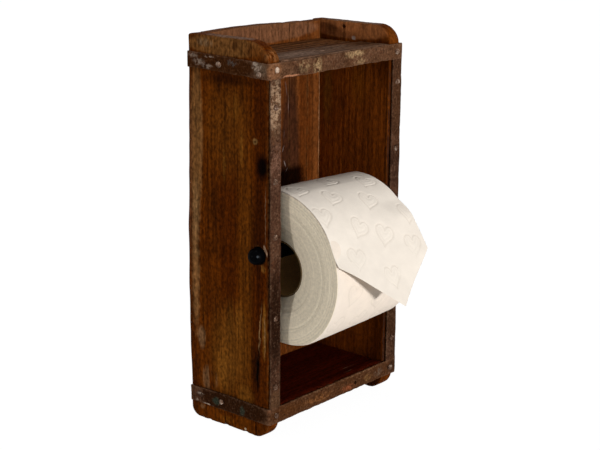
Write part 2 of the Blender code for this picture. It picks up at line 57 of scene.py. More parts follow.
# %% [markdown]
# The camera stands a little above the holder and to its left, nearly a metre away, with a long
# lens. A camera looks along its own -Z axis, so the direction from the target back to the camera
# gives its turn, and a small roll about that direction levels the picture.

# %% Camera
CAMERA_TARGET = Vector((-0.0423, -0.0807, 0.0126))
CAMERA_TURN_DEG = -48.58
CAMERA_RISE_DEG = 14.98
CAMERA_ROLL_DEG = 0.39
CAMERA_DISTANCE = 0.9714
LENS_MM = 80.99
SENSOR_MM = 36.0
NEAREST_SEEN = 0.05


def towards(turn_deg, rise_deg):
    """The direction from the holder to something at this turn from the front and this rise."""
    turn, rise = math.radians(turn_deg), math.radians(rise_deg)
    flat = math.cos(rise)
    return Vector((math.sin(turn) * flat, -math.cos(turn) * flat, math.sin(rise)))


def add_object(name, data):
    """Put a mesh, lamp or lens into the scene as an object at the origin."""
    obj = bpy.data.objects.new(name, data)
    bpy.context.scene.collection.objects.link(obj)
    return obj


def add_camera():
    lens = bpy.data.cameras.new("camera")
    lens.lens = LENS_MM
    lens.sensor_width = SENSOR_MM
    lens.clip_start = NEAREST_SEEN
    camera = add_object("camera", lens)
    back = towards(CAMERA_TURN_DEG, CAMERA_RISE_DEG)
    camera.location = CAMERA_TARGET + back * CAMERA_DISTANCE
    roll = Matrix.Rotation(math.radians(CAMERA_ROLL_DEG), 4, "Z")
    turned = back.to_track_quat("Z", "Y").to_matrix().to_4x4() @ roll
    camera.rotation_euler = turned.to_euler()
    bpy.context.scene.camera = camera
    return camera


print("camera at", [round(value, 3) for value in add_camera().location])

# %% [markdown]
# Light: a broad lamp stands in front, a smaller one to the left and a little behind, and one
# hangs straight above, whose sharp edge of shadow the top band throws across the roll. Sun lamps
# keep the same strength over the whole piece; their angle sets how soft a shadow is. A sun's
# strength of pi lights a white surface that faces it to exactly white. The world fills the
# shadows, and is white to the camera. World, floor and finishes are all made of nodes, so one
# helper adds a node and feeds its inputs.

# %% Lamps and world
LAMPS = {
    "front_lamp": {"turn": -4, "rise": 4.0, "share": 0.83, "softness": 7},
    "left_lamp": {"turn": -107, "rise": 5, "share": 0.22, "softness": 3},
    "top_lamp": {"turn": 180, "rise": 87, "share": 0.12, "softness": 0.8},
}
FILL_LIGHT = 0.26
WHITE = (1, 1, 1)


def add_lamp(name, turn, rise, share, softness):
    sun = bpy.data.lights.new(name, "SUN")
    sun.energy = share * math.pi
    sun.angle = math.radians(softness)
    lamp = add_object(name, sun)
    lamp.rotation_euler = towards(turn, rise).to_track_quat("Z", "Y").to_euler()


def feed(tree, socket, value):
    """Link an output to a node's input, or set a plain value there."""
    if isinstance(value, bpy.types.NodeSocket):
        tree.links.new(value, socket)
    elif socket.type == "RGBA":
        socket.default_value = (*value, 1.0)
    else:
        socket.default_value = value


def add_node(tree, kind, inputs=None, **settings):
    """Add a node with its settings, and feed its inputs by name or number."""
    node = tree.nodes.new(kind)
    for key, value in settings.items():
        setattr(node, key, value)
    for socket, value in (inputs or {}).items():
        feed(tree, node.inputs[socket], value)
    return node


def sum_of(tree, operation, first, second):
    inputs = {0: first, 1: second}
    return add_node(tree, "ShaderNodeMath", inputs, operation=operation).outputs[0]


def seen_directly(tree):
    """1 where the camera, a reflection or a clear material looks at this, 0 where light falls."""
    rays = add_node(tree, "ShaderNodeLightPath").outputs
    share = sum_of(tree, "MAXIMUM", rays["Is Camera Ray"], rays["Is Glossy Ray"])
    return sum_of(tree, "MAXIMUM", share, rays["Is Transmission Ray"])


def choose(tree, output, share, lit, seen):
    """Light falls on the lit shader; the seen one shows by its share."""
    inputs = {0: share, 1: lit.outputs[0], 2: seen.outputs[0]}
    mix = add_node(tree, "ShaderNodeMixShader", inputs)
    tree.links.new(mix.outputs[0], tree.nodes[output].inputs["Surface"])


def light_world():
    world = bpy.data.worlds.new("studio")
    bpy.context.scene.world = world
    world.use_nodes = True
    tree = world.node_tree
    fill = tree.nodes["Background"]
    feed(tree, fill.inputs["Color"], WHITE)
    feed(tree, fill.inputs["Strength"], FILL_LIGHT)
    white = add_node(tree, "ShaderNodeBackground", {"Color": WHITE, "Strength": 1.0})
    choose(tree, "World Output", seen_directly(tree), fill, white)


for lamp_name, lamp in LAMPS.items():
    add_lamp(lamp_name, **lamp)
light_world()
bpy.context.scene.view_settings.view_transform = "Standard"
print("lamps:", ", ".join(LAMPS))

# %% [markdown]
# The floor is a plain white sheet just under the feet. To light it is an ordinary pale floor,
# which throws light back up. To the camera it glows almost white, with a small share of its
# real shading left in, so that the holder's shadow shows faintly and the rest stays white.

# %% Floor
FLOOR_PALE = (0.8, 0.8, 0.8)
FLOOR_GLOW = 1.09
FLOOR_SHADOW_SHARE = 0.10
FLOOR_HALF = 4.0
FLOOR_BELOW = 0.0002


def floor_paint():
    paint = bpy.data.materials.new("floor_white")
    paint.use_nodes = True
    tree = paint.node_tree
    tree.nodes.remove(tree.nodes["Principled BSDF"])
    matt = add_node(tree, "ShaderNodeBsdfDiffuse", {"Color": FLOOR_PALE})
    glow = add_node(tree, "ShaderNodeEmission", {"Strength": FLOOR_GLOW})
    share = sum_of(tree, "MULTIPLY", seen_directly(tree), 1 - FLOOR_SHADOW_SHARE)
    choose(tree, "Material Output", share, matt, glow)
    return paint


def add_floor():
    bm = bmesh.new()
    bmesh.ops.create_grid(bm, x_segments=1, y_segments=1, size=FLOOR_HALF)
    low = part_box("left_side_board")[0].z - FLOOR_BELOW
    bmesh.ops.translate(bm, vec=(0, 0, low), verts=bm.verts)
    mesh = bpy.data.meshes.new("floor")
    bm.to_mesh(mesh)
    bm.free()
    mesh.materials.append(floor_paint())
    floor = add_object("floor", mesh)
    return floor


print("floor at z", round(add_floor().bound_box[0][2], 4))

# %% [markdown]
# Every finish here is mixed from the same few nodes, so they get short names in one class. Each
# method adds a node, feeds it, and gives back its output. Patterns read Object coordinates: each
# piece's object sits at the origin, so these are plain metres in the holder's own frame, and a
# mark can be put exactly where the real one is. Even values are set straight on the sockets.

# %% A small kit for mixing finishes
class Finish:
    """A material while it is mixed: each method adds a node and gives back its output."""

    def __init__(self, name, roughness, specular):
        self.material = bpy.data.materials.new(name)
        self.material.use_nodes = True
        self.tree = self.material.node_tree
        self.shader = self.tree.nodes["Principled BSDF"]
        self.shader.inputs["Roughness"].default_value = roughness
        self.shader.inputs["Specular IOR Level"].default_value = specular
        self.place = self.node("ShaderNodeTexCoord").outputs["Object"]

    def node(self, kind, inputs=None, **settings):
        return add_node(self.tree, kind, inputs, **settings)

    def vector(self, operation, *values):
        """Maths on places; LENGTH gives a number."""
        node = self.node("ShaderNodeVectorMath", dict(enumerate(values)), operation=operation)
        return node.outputs["Value" if operation == "LENGTH" else "Vector"]

    def times(self, first, second):
        return sum_of(self.tree, "MULTIPLY", first, second)

    def cloud(self, scale, detail=3.0, rough=0.5, swirl=0.0, place=None):
        """Soft noise from 0 to 1."""
        inputs = {"Vector": place or self.place, "Scale": scale, "Detail": detail}
        inputs.update({"Roughness": rough, "Distortion": swirl})
        return self.node("ShaderNodeTexNoise", inputs).outputs["Fac"]

    def fade(self, value, low, high):
        """0 at low, 1 at high, smooth between; low may be the larger."""
        inputs = {"Value": value, "From Min": low, "From Max": high}
        node = self.node("ShaderNodeMapRange", inputs, interpolation_type="SMOOTHSTEP")
        return node.outputs["Result"]

    def spread(self, value, low, high):
        """A noise of 0.3 to 0.7 turned into low to high."""
        inputs = {"Value": value, "From Min": 0.3, "From Max": 0.7, "To Min": low, "To Max": high}
        return self.node("ShaderNodeMapRange", inputs).outputs["Result"]

    def carried(self, name):
        """A number that the mesh carries for each of its points."""
        return self.node("ShaderNodeAttribute", attribute_name=name).outputs["Fac"]

    def over(self, share, under, upper):
        """The upper colour laid over the under one."""
        inputs = {0: share, 6: under, 7: upper}
        return self.node("ShaderNodeMix", inputs, data_type="RGBA").outputs[2]

    def stained(self, colour, tone, share, strength):
        """The colour with a tone over it, where the share lets it and as strong as this."""
        return self.over(self.times(share, strength), colour, tone)

    def varied(self, colour, value, low, high):
        """The colour made low to high times as bright by a noise."""
        inputs = {0: colour, "Scale": self.spread(value, low, high)}
        return self.node("ShaderNodeVectorMath", inputs, operation="SCALE").outputs[0]

    def tones(self, value, stops):
        """A colour ramp of (position, colour) stops."""
        node = self.node("ShaderNodeValToRGB", {"Fac": value})
        band = node.color_ramp
        while len(band.elements) < len(stops):
            band.elements.new(0.5)
        for element, (position, colour) in zip(band.elements, stops):
            element.position = position
            element.color = (*colour, 1.0)
        return node.outputs["Color"]

    def relief(self, height, depth, under=None):
        """A bump this deep, on top of the one under it."""
        inputs = {"Height": height, "Distance": depth, "Strength": 1.0}
        if under is not None:
            inputs["Normal"] = under
        return self.node("ShaderNodeBump", inputs).outputs[0]

    def done(self, colour, normal, roughness=None):
        feed(self.tree, self.shader.inputs["Base Color"], colour)
        feed(self.tree, self.shader.inputs["Normal"], normal)
        if roughness is not None:
            feed(self.tree, self.shader.inputs["Roughness"], roughness)
        print("finish", self.material.name, "has", len(self.tree.nodes), "nodes")
        return self.material


# %% [markdown]
# Old pieces are known by their marks: pale worn stripes, dark knots, flakes. Each is a soft oval
# that is put where the real one is. A mark says where its middle is and how far it
# reaches on each axis, in millimetres, then its tone, how strong it is, and how much of it fades
# towards its rim. It may be broken up by the grain, and tilted, in degrees. Noise pushes the
# places about a little, so that the rims are uneven.

# %% Marks
Mark = namedtuple(
    "Mark", "at reach tone strength soft broken tilt", defaults=(0.8, 0.6, False, (0, 0, 0)),
)
BROKEN_FROM, BROKEN_TO = 0.42, 0.56


def marked(finish, colour, marks, grain, push=0.004, scale=90.0):
    """Lay each mark over the colour, in places pushed about by noise."""
    pushes = finish.node("ShaderNodeTexNoise", {"Vector": finish.place, "Scale": scale})
    pushes = finish.vector("SUBTRACT", pushes.outputs["Color"], (0.5, 0.5, 0.5))
    place = finish.vector("MULTIPLY_ADD", pushes, (push, push, push), finish.place)
    for mark in marks:
        inputs = {"Vector": place, "Location": [value * MM for value in mark.at]}
        inputs["Scale"] = [value * MM for value in mark.reach]
        inputs["Rotation"] = [math.radians(value) for value in mark.tilt]
        away = finish.node("ShaderNodeMapping", inputs, vector_type="TEXTURE").outputs[0]
        share = finish.fade(finish.vector("LENGTH", away), 1.0, 1.0 - mark.soft)
        share = finish.times(share, mark.strength)
        if mark.broken:
            share = finish.times(share, finish.fade(grain, BROKEN_FROM, BROKEN_TO))
        colour = finish.over(share, colour, mark.tone)
    return colour


print("a mark has", ", ".join(Mark._fields))

# %% [markdown]
# Old waxed wood has its colour in layers: slow changes of tone that follow the grain, then marks,
# and over them narrower streaks, grit, and fine fibres with dark pores. All of them but the marks
# are noise that is stretched along the grain. Where the edges are worn, the wax and dirt are
# gone and the wood is paler: the meshes below carry that as an attribute named worn. The wax is
# matt, so the wood's specular level is low; otherwise it would look grey.

# %% The wood finish
WOOD_PATTERNS = {  # how many to the metre, how detailed, and how far squeezed along the grain
    "broad": (46, 3.0, 0.03),
    "blotches": (130, 4.0, 0.22),
    "streaks": (240, 4.0, 0.03),
    "fibres": (430, 1.5, 0.03),
    "grit": (480, 1.0, 0.6),
    "pores": (900, 1.0, 0.03),
}
WOOD_SHADES = {"blotches": 0.13, "streaks": 0.13, "fibres": 0.32, "grit": 0.44}
WOOD_ROUGH = 0.62
WOOD_SPECULAR = 0.006
PORE_TONE = (0.010, 0.003, 0.001)
DARK_LINES, DARK_PORES, WORN_WOOD = 0.3, 0.45, 0.5


def wood(name, along, tones, marks, contrast=1.0, worn_tone=(0.15, 0.060, 0.018)):
    finish = Finish(name, WOOD_ROUGH, WOOD_SPECULAR)
    noises = {}
    for pattern, (per_metre, detail, squeeze) in WOOD_PATTERNS.items():
        scale = [per_metre] * 3
        scale[along] *= squeeze
        inputs = {"Vector": finish.place, "Scale": scale}
        place = finish.node("ShaderNodeMapping", inputs).outputs[0]
        noises[pattern] = finish.cloud(1.0, detail, 0.65, 0.3, place)
    streaks = noises["streaks"]
    colour = finish.tones(noises["broad"], tones)
    colour = marked(finish, colour, marks, streaks, 0.0024, 170.0)
    for pattern, share in WOOD_SHADES.items():
        reach = share * contrast
        colour = finish.varied(colour, noises[pattern], 1 - reach, 1 + reach)
    lines = finish.fade(noises["fibres"], 0.36, 0.28)
    colour = finish.stained(colour, PORE_TONE, lines, DARK_LINES * contrast)
    pores = finish.fade(noises["pores"], 0.62, 0.70)
    colour = finish.stained(colour, PORE_TONE, pores, DARK_PORES * contrast)
    patchy = finish.fade(finish.cloud(260.0, 4.0), 0.42, 0.58)
    worn = finish.times(finish.carried("worn"), patchy)
    colour = finish.stained(colour, worn_tone, worn, WORN_WOOD)
    normal = finish.relief(noises["grit"], 0.0003, finish.relief(streaks, 0.0004))
    return finish.done(colour, normal, finish.spread(streaks, WOOD_ROUGH - 0.10, WOOD_ROUGH + 0.12))


# %% [markdown]
# The side boards are warm brown with dark streaks. The left one shows its whole outer face, which
# lies at one place on X, so its marks differ by where they are on Y and Z: two broad patches
# first, then the pale stripe at the back edge, the dark and the honey-coloured patches, the
# split and the knot near the front, a painted shadow in the gap beside the strap, and last the
# gallery and the foot.

# %% Tones and marks of the side boards
SIDE_TONES = [
    (0.32, (0.054, 0.0098, 0.0004)),
    (0.44, (0.074, 0.0148, 0.0007)),
    (0.56, (0.094, 0.0210, 0.0012)),
    (0.70, (0.125, 0.0340, 0.0028)),
]
FACE = -72.9
PALE = (0.205, 0.090, 0.027)
PALE_LOW = (0.235, 0.108, 0.036)
GREYISH = (0.180, 0.087, 0.036)
DARK = (0.022, 0.005, 0.0008)
# near black: blackened cracks and seams, and the painted shadow in the gap beside the left strap
BLACKENED_AND_SHADE = (0.006, 0.003, 0.002)
HONEY = (0.210, 0.078, 0.010)
BRIGHT_WOOD = (0.300, 0.160, 0.065)
LEFT_BOARD_MARKS = [
    Mark((FACE, -38, 82), (5, 30, 52), (0.145, 0.046, 0.0052), 0.5, 0.8),
    Mark((FACE, -38, -88), (5, 28, 50), (0.155, 0.055, 0.0070), 0.65, 0.8),
    Mark((FACE, -8, 62), (5, 8.2, 78), PALE, 0.8, 0.35),
    Mark((FACE, -7, -34), (5, 6.8, 66), PALE_LOW, 0.8, 0.35),
    Mark((FACE, -7.4, 8), (5, 6.6, 46), (0.290, 0.155, 0.060), 0.65, 0.5),
    Mark((FACE, -1.5, 10), (5, 3.2, 130), (0.170, 0.060, 0.025), 0.6),
    Mark((FACE, -12, -80), (5, 5.5, 13), GREYISH, 0.85, 0.35),
    Mark((FACE, -18, -112), (5, 10.5, 12.5), GREYISH, 0.75, 0.4, broken=True),
    Mark((FACE, -3, 40), (5, 2.6, 90), (0.150, 0.055, 0.018), 0.6, 0.5, broken=True),
    Mark((FACE, -24, 18), (5, 11, 44), DARK, 0.4, 0.8),
    Mark((FACE, -66, 98), (5, 13, 26), DARK, 0.18, 0.8),
    Mark((FACE, -67, 12), (5, 11, 52), DARK, 0.6, 0.8),
    Mark((FACE, -57, -34), (5, 9, 42), DARK, 0.45, 0.8, broken=True),
    Mark((FACE, -35, 55), (5, 1.8, 16), HONEY, 0.5),
    Mark((FACE, -51.7, 69), (5, 1.8, 18), HONEY, 0.55),
    Mark((FACE, -44, 98), (5, 9, 16), HONEY, 0.35, 0.8, broken=True),
    Mark((FACE, -45, -60), (5, 16, 22), HONEY, 0.4, 0.9, broken=True),
    Mark((FACE, -35, -104), (5, 15, 24), HONEY, 0.45, 0.8, broken=True),
    Mark((FACE, -55, -117), (5, 11, 11), HONEY, 0.45),
    Mark((FACE, -74, -62), (5, 2.6, 27), HONEY, 0.85, 0.5),
    Mark((FACE, -74.4, -66), (3, 0.7, 20), BRIGHT_WOOD, 0.7, 0.5),
    Mark((FACE, -66, -92), (5, 7, 27), DARK, 0.9, 0.9),
    Mark((FACE, -67, -96), (5, 1.7, 17), BLACKENED_AND_SHADE, 0.95, 0.5),
    Mark((FACE, -69.4, -62), (3, 0.6, 27), BRIGHT_WOOD, 0.8, 0.5, tilt=(4.3, 0, 0)),
    Mark((FACE, -72.2, 58.6), (5, 8.3, 12.6), (0.0034, 0.0008, 0.0003), 1.0, 0.65),
    Mark((FACE, -65.3, 76.1), (3, 3.2, 3.2), (0.21, 0.11, 0.035), 0.75, 0.5),
    Mark((FACE, -65.3, 76.1), (3, 1.5, 1.2), DARK, 0.7),
    Mark((FACE, -40, 117), (4, 37, 6), DARK, 0.8, 0.8),
    Mark((FACE, -30, 111), (4, 3, 11), DARK, 0.6, 0.8),
    Mark((FACE, -52, 108), (4, 4, 14), DARK, 0.6, 0.8),
    Mark((FACE, -68.5, -6.3), (3, 9, 9), DARK, 0.7, 0.3),
    Mark((FACE, -75.2, -1.5), (3, 1.3, 5.5), (0.38, 0.24, 0.15), 0.85, 0.5, tilt=(-20, 0, 0)),
    Mark((FACE, -72.5, -15.5), (3, 3.2, 3.6), (0.30, 0.115, 0.02), broken=True),
    # painted shadow: the dark gap between the strap and the board
    Mark((FACE, -78.4, 0), (6, 2.4, 124), BLACKENED_AND_SHADE, 0.8, 0.8),
    Mark((FACE, -75.0, 24), (3, 0.6, 28), (0.20, 0.11, 0.06), 0.65),
    Mark((FACE, -36, 140), (6, 44, 8), (0.195, 0.082, 0.022), 0.75, 0.25),
    Mark((FACE, -68, 137), (5, 16, 11), (0.130, 0.034, 0.0040), 0.65, 0.8),
    Mark((FACE, -16.7, 141), (6, 11, 4), (0.21, 0.125, 0.062), 0.75, broken=True),
    Mark((FACE, -46, 142), (6, 3.5, 7), DARK, 0.65),
    Mark((FACE, -60, 140), (6, 3, 7), DARK, 0.45),
    Mark((-67, -75, 136), (9, 8, 6), (0.23, 0.095, 0.032), 0.6, broken=True),
    Mark((-67, -40, 147), (8, 36, 1.7), (0.20, 0.11, 0.07), 0.85, 0.4),
    Mark((FACE, -40, -140), (5, 44, 8), (0.118, 0.027, 0.0010), 0.5, 0.3),
    Mark((FACE, -36, -141), (5, 9, 3.6), (0.26, 0.085, 0.008), 0.65, broken=True),
    Mark((FACE, -54.8, -143.5), (4, 1.3, 1.3), (0.62, 0.48, 0.32), 0.9),
    Mark((FACE, -65.2, -140), (5, 0.7, 8), BLACKENED_AND_SHADE),
    Mark((FACE, -11, -136.6), (4, 4, 3), GREYISH, 0.7),
]
left_wood = wood("left_board_wood", Z, SIDE_TONES, LEFT_BOARD_MARKS)

# %% [markdown]
# Of the right board the inner face shows, and a thin line of its front edge beside the strap.
# Light falls on the inner face through the open front, and broad marks paint that light into its
# tone as painted light, so it looks redder and brighter than the left board. Low down the raised
# tone is a little darker, as painted shade of the roll.

# %% Tones and marks of the right board
INNER = 61.4
RIGHT_BOARD_MARKS_AND_PAINTED_LIGHT = [
    # painted light: the broad marks raise the inner face's tone where light falls on it; the low
    # one less, for the roll's shade
    Mark((INNER, -44, 60), (4, 50, 90), (0.270, 0.066, 0.0062), 0.9, 0.5),
    Mark((INNER, -17, 88), (4, 7, 42), (0.180, 0.072, 0.009), 0.7, 0.8),
    Mark((INNER, -49, 100), (4, 13, 26), (0.340, 0.098, 0.006), 0.6, 0.9),
    Mark((INNER, -33, 83), (4, 3, 9), DARK, 0.4),
    Mark((INNER, -36, -98), (4, 42, 44), (0.240, 0.058, 0.0052), 0.9),
    Mark((INNER, -38, 141), (6, 44, 8.5), (0.320, 0.112, 0.036), 0.8, 0.25),
    Mark((INNER, -20, 141), (6, 10, 8), DARK, 0.55, 0.8),
    Mark((67, -75, 138), (9, 12, 10), (0.135, 0.034, 0.0040), 0.75),
    Mark((67, -40, 147), (8, 36, 1.5), (0.18, 0.10, 0.06), 0.8, 0.4),
    Mark((INNER, -76.2, 20), (1.0, 1.5, 140), BLACKENED_AND_SHADE, 0.6),
    Mark((62.6, -78.4, -50), (1.6, 1.4, 230), (0.036, 0.013, 0.007), 0.95, 0.3),
    Mark((INNER, -42.8, 134.6), (2.5, 3.4, 2.2), (0.52, 0.44, 0.38), 0.85, broken=True),
]
right_wood = wood("right_board_wood", Z, SIDE_TONES, RIGHT_BOARD_MARKS_AND_PAINTED_LIGHT, 0.65,
                  (0.075, 0.022, 0.004))

# %% [markdown]
# The shelf is greyer and paler than the rest, and worn bare along its seam. The back is seen in
# shade above the roll and beside it, and the bottom board is the darkest and reddest of all.

# %% Tones and marks of the shelf, the bottom and the back
SHELF_TONES = [
    (0.30, (0.072, 0.033, 0.0175)),
    (0.50, (0.125, 0.063, 0.035)),
    (0.70, (0.176, 0.096, 0.057)),
]
SHELF_REAR_TONES = [
    (0.30, (0.060, 0.020, 0.0058)),
    (0.50, (0.118, 0.043, 0.0140)),
    (0.70, (0.180, 0.080, 0.0330)),
]
BACK_TONES = [
    (0.30, (0.055, 0.0120, 0.0016)),
    (0.48, (0.095, 0.0240, 0.0040)),
    (0.62, (0.130, 0.0370, 0.0075)),
    (0.76, (0.180, 0.0600, 0.0160)),
]
BOTTOM_TONES = [
    (0.30, (0.034, 0.0034, 0.0006)),
    (0.52, (0.067, 0.0069, 0.0012)),
    (0.72, (0.110, 0.0122, 0.0021)),
]
SHELF_MARKS = [
    Mark((-3, -66, 133), (4, 1.8, 3), (0.34, 0.20, 0.13), 0.85),
    Mark((-30, -66, 133), (36, 11, 3), (0.195, 0.128, 0.100), 0.5, 0.9),
    Mark((-30, -64, 133), (34, 15, 3), (0.212, 0.127, 0.084), 0.6, 0.8),
    Mark((50, -60, 133), (26, 16, 3), (0.062, 0.0215, 0.0062), 0.85, 0.9),
    Mark((14, -64, 133), (26, 0.8, 3), (0.26, 0.16, 0.11), 0.6, tilt=(0, 0, 14)),
    Mark((22, -57, 133), (15, 0.8, 3), (0.24, 0.15, 0.10), 0.5, tilt=(0, 0, -10)),
    Mark((0, -50, 133), (70, 1.6, 3), (0.030, 0.010, 0.004), 0.7, broken=True),
]
SHELF_REAR_MARKS = [
    Mark((30, -42, 132), (45, 3.4, 4), (0.13, 0.036, 0.012), 0.7, broken=True),
    Mark((0, -36, 132), (70, 1.6, 4), BLACKENED_AND_SHADE),
    Mark((20, -20, 132), (45, 1.3, 4), BLACKENED_AND_SHADE, 0.7, tilt=(0, 0, 6)),
    Mark((54, -42, 132), (7, 3.0, 3), (0.50, 0.42, 0.35), 0.85, broken=True),
    Mark((38, -44, 132), (12, 1.0, 3), (0.40, 0.30, 0.23), 0.7, broken=True),
]
BACK_Y = -10
BACK_MARKS = [
    Mark((26, BACK_Y, 32), (13.5, 4, 98), (0.039, 0.0130, 0.0058), 0.92, 0.4),
    Mark((60.6, BACK_Y, 60), (0.9, 4, 66), (0.30, 0.15, 0.07), 0.7),
    Mark((18.4, BACK_Y, 57), (0.6, 3, 10), (0.20, 0.14, 0.12), 0.7, broken=True, tilt=(0, 10, 0)),
    Mark((19.6, BACK_Y, 37), (0.7, 3, 3.4), (0.34, 0.27, 0.24), 0.6, tilt=(0, -24, 0)),
    Mark((22.0, BACK_Y, 32), (0.7, 3, 2.6), (0.34, 0.27, 0.24), 0.6, tilt=(0, 35, 0)),
    Mark((18.0, BACK_Y, 49), (0.5, 3, 3.4), (0.30, 0.22, 0.19), 0.5, tilt=(0, 30, 0)),
    Mark((24, BACK_Y, 84), (1.0, 3, 10), (0.13, 0.08, 0.065), 0.6, broken=True),
    Mark((21, BACK_Y, 96), (0.8, 3, 8), (0.13, 0.08, 0.065), 0.6, broken=True, tilt=(0, -12, 0)),
    Mark((-10, BACK_Y, 141), (76, 4, 9), (0.150, 0.064, 0.030), 0.8, 0.2),
    Mark((0, BACK_Y, -70), (64, 4, 40), (0.120, 0.034, 0.008), 0.6),
]
shelf_front_wood = wood("shelf_front_wood", X, SHELF_TONES, SHELF_MARKS, 1.15,
                        (0.22, 0.12, 0.075))
shelf_rear_wood = wood("shelf_rear_wood", X, SHELF_REAR_TONES, SHELF_REAR_MARKS, 1.1)
back_wood = wood("back_plank_wood", Z, BACK_TONES, BACK_MARKS, 0.75)
BOTTOM_MARKS = [
    Mark((34, -66, -121), (9, 0.9, 3), (0.16, 0.09, 0.06), broken=True),
    Mark((26, -72, -121), (7, 0.8, 3), (0.14, 0.08, 0.05), broken=True),
]
bottom_wood = wood("bottom_board_wood", X, BOTTOM_TONES, BOTTOM_MARKS, 0.8,
                   (0.07, 0.03, 0.015))

# %% [markdown]
# The iron is flat bar that rusted, was handled and was waxed with the wood. Its colour is a dark
# brown skin with pinkish grey scale in patches, rust in the hollows and small bright specks where
# the metal shows. Old rust reflects only weakly, so it is not set as metal.

# %% The iron finish
RUST_TONE = (0.090, 0.026, 0.009)
PIT_TONE = (0.010, 0.005, 0.003)
RUBBED_TONE = (0.20, 0.105, 0.06)
IRON_SPECULAR = 0.009


def iron(name, tones, marks, specks=0.10, speck_tone=(0.30, 0.20, 0.13), rough=0.66):
    finish = Finish(name, rough, IRON_SPECULAR)
    patches = finish.cloud(75.0, 4.0, 0.6, 0.6)
    crust = finish.cloud(330.0, 5.0, 0.7, 0.3)
    grit = finish.cloud(560.0, 2.0, 0.6)
    dust = finish.cloud(1500.0, 3.0, 0.6)
    colour = finish.varied(finish.tones(patches, tones), crust, 0.82, 1.18)
    rust = finish.times(finish.fade(crust, 0.50, 0.40), finish.fade(patches, 0.42, 0.6))
    colour = finish.stained(colour, RUST_TONE, rust, 0.35)
    colour = marked(finish, colour, marks, crust, 0.003, 240.0)
    colour = finish.varied(colour, grit, 0.58, 1.42)
    bright = finish.times(finish.fade(grit, 0.55, 0.63), finish.fade(crust, 0.44, 0.54))
    colour = finish.stained(colour, speck_tone, bright, specks)
    colour = finish.stained(colour, speck_tone, finish.fade(dust, 0.62, 0.70), specks * 0.8)
    colour = finish.stained(colour, PIT_TONE, finish.fade(grit, 0.38, 0.30), 0.5)
    worn = finish.times(finish.carried("worn"), finish.fade(crust, 0.4, 0.6))
    colour = finish.stained(colour, RUBBED_TONE, worn, 0.4)
    normal = finish.relief(grit, 0.0003, finish.relief(crust, 0.0006))
    return finish.done(colour, normal, finish.spread(crust, rough - 0.14, rough + 0.14))


# %% Tones and marks of the bands and straps
BAND_TONES = [
    (0.32, (0.063, 0.0250, 0.0105)),
    (0.48, (0.088, 0.0385, 0.0182)),
    (0.62, (0.112, 0.0525, 0.0270)),
]
DARK_IRON = (0.022, 0.009, 0.005)
SIDE_IRON = (0.046, 0.0130, 0.0022)
FLAKE = (0.430, 0.325, 0.250)
SCALE_YELLOW = (0.420, 0.275, 0.135)
COPPERY = (0.190, 0.082, 0.037)
SIDE_X = -75.0
FRONT_Y = -80.7
TOP_BAND_MARKS = [
    Mark((SIDE_X, -32, 127), (3, 38, 10), SIDE_IRON, 0.93, 0.2),
    Mark((SIDE_X, -7, 131.4), (3, 6, 2.4), FLAKE, 0.4, broken=True),
    Mark((SIDE_X, -13, 127.4), (3, 8, 3.4), FLAKE, 0.45, broken=True),
    Mark((SIDE_X, -21, 124.6), (3, 7, 2.2), FLAKE, 0.5, broken=True),
    Mark((SIDE_X, -32.6, 126.7), (3, 2.0, 2.4), (0.34, 0.27, 0.21), 0.9, 0.3),
    Mark((SIDE_X, -23, 131.6), (3, 9, 0.9), FLAKE, 0.5, broken=True),
    Mark((SIDE_X, -45, 129), (3, 6, 3.2), (0.110, 0.092, 0.080), 0.7, broken=True),
    Mark((SIDE_X, -72.5, 127), (3, 8.5, 6.8), (0.150, 0.092, 0.056), 0.8, 0.5),
    Mark((SIDE_X, -69, 129), (3, 6.5, 4.5), FLAKE, 0.7, broken=True),
    Mark((SIDE_X, -67, 130.8), (3, 3.2, 1.8), FLAKE, 0.85),
    Mark((SIDE_X, -72, 124.6), (3, 4.5, 2.6), DARK_IRON, 0.7, broken=True),
    Mark((-70, FRONT_Y, 127), (10, 4, 9), COPPERY, 0.8, 0.5),
    Mark((-24, FRONT_Y, 126), (6, 3, 8), SCALE_YELLOW, 0.65, broken=True),
    Mark((-38, FRONT_Y, 127), (9, 3, 6), SCALE_YELLOW, 0.35, broken=True),
    Mark((17, FRONT_Y, 130), (14, 3, 4.4), SCALE_YELLOW, 0.6, broken=True),
    Mark((24, FRONT_Y, 124), (9, 3, 3), SCALE_YELLOW, 0.4, broken=True),
    Mark((-43, FRONT_Y, 124.5), (10, 3, 4), DARK_IRON, 0.4),
    Mark((0, FRONT_Y, 126), (12, 3, 8), DARK_IRON, 0.25),
    Mark((-52, FRONT_Y, 121.6), (13, 4, 0.9), (0.40, 0.17, 0.085), 0.85),
    Mark((58, FRONT_Y, 125), (12, 3, 6), (0.100, 0.043, 0.020), 0.6),
]
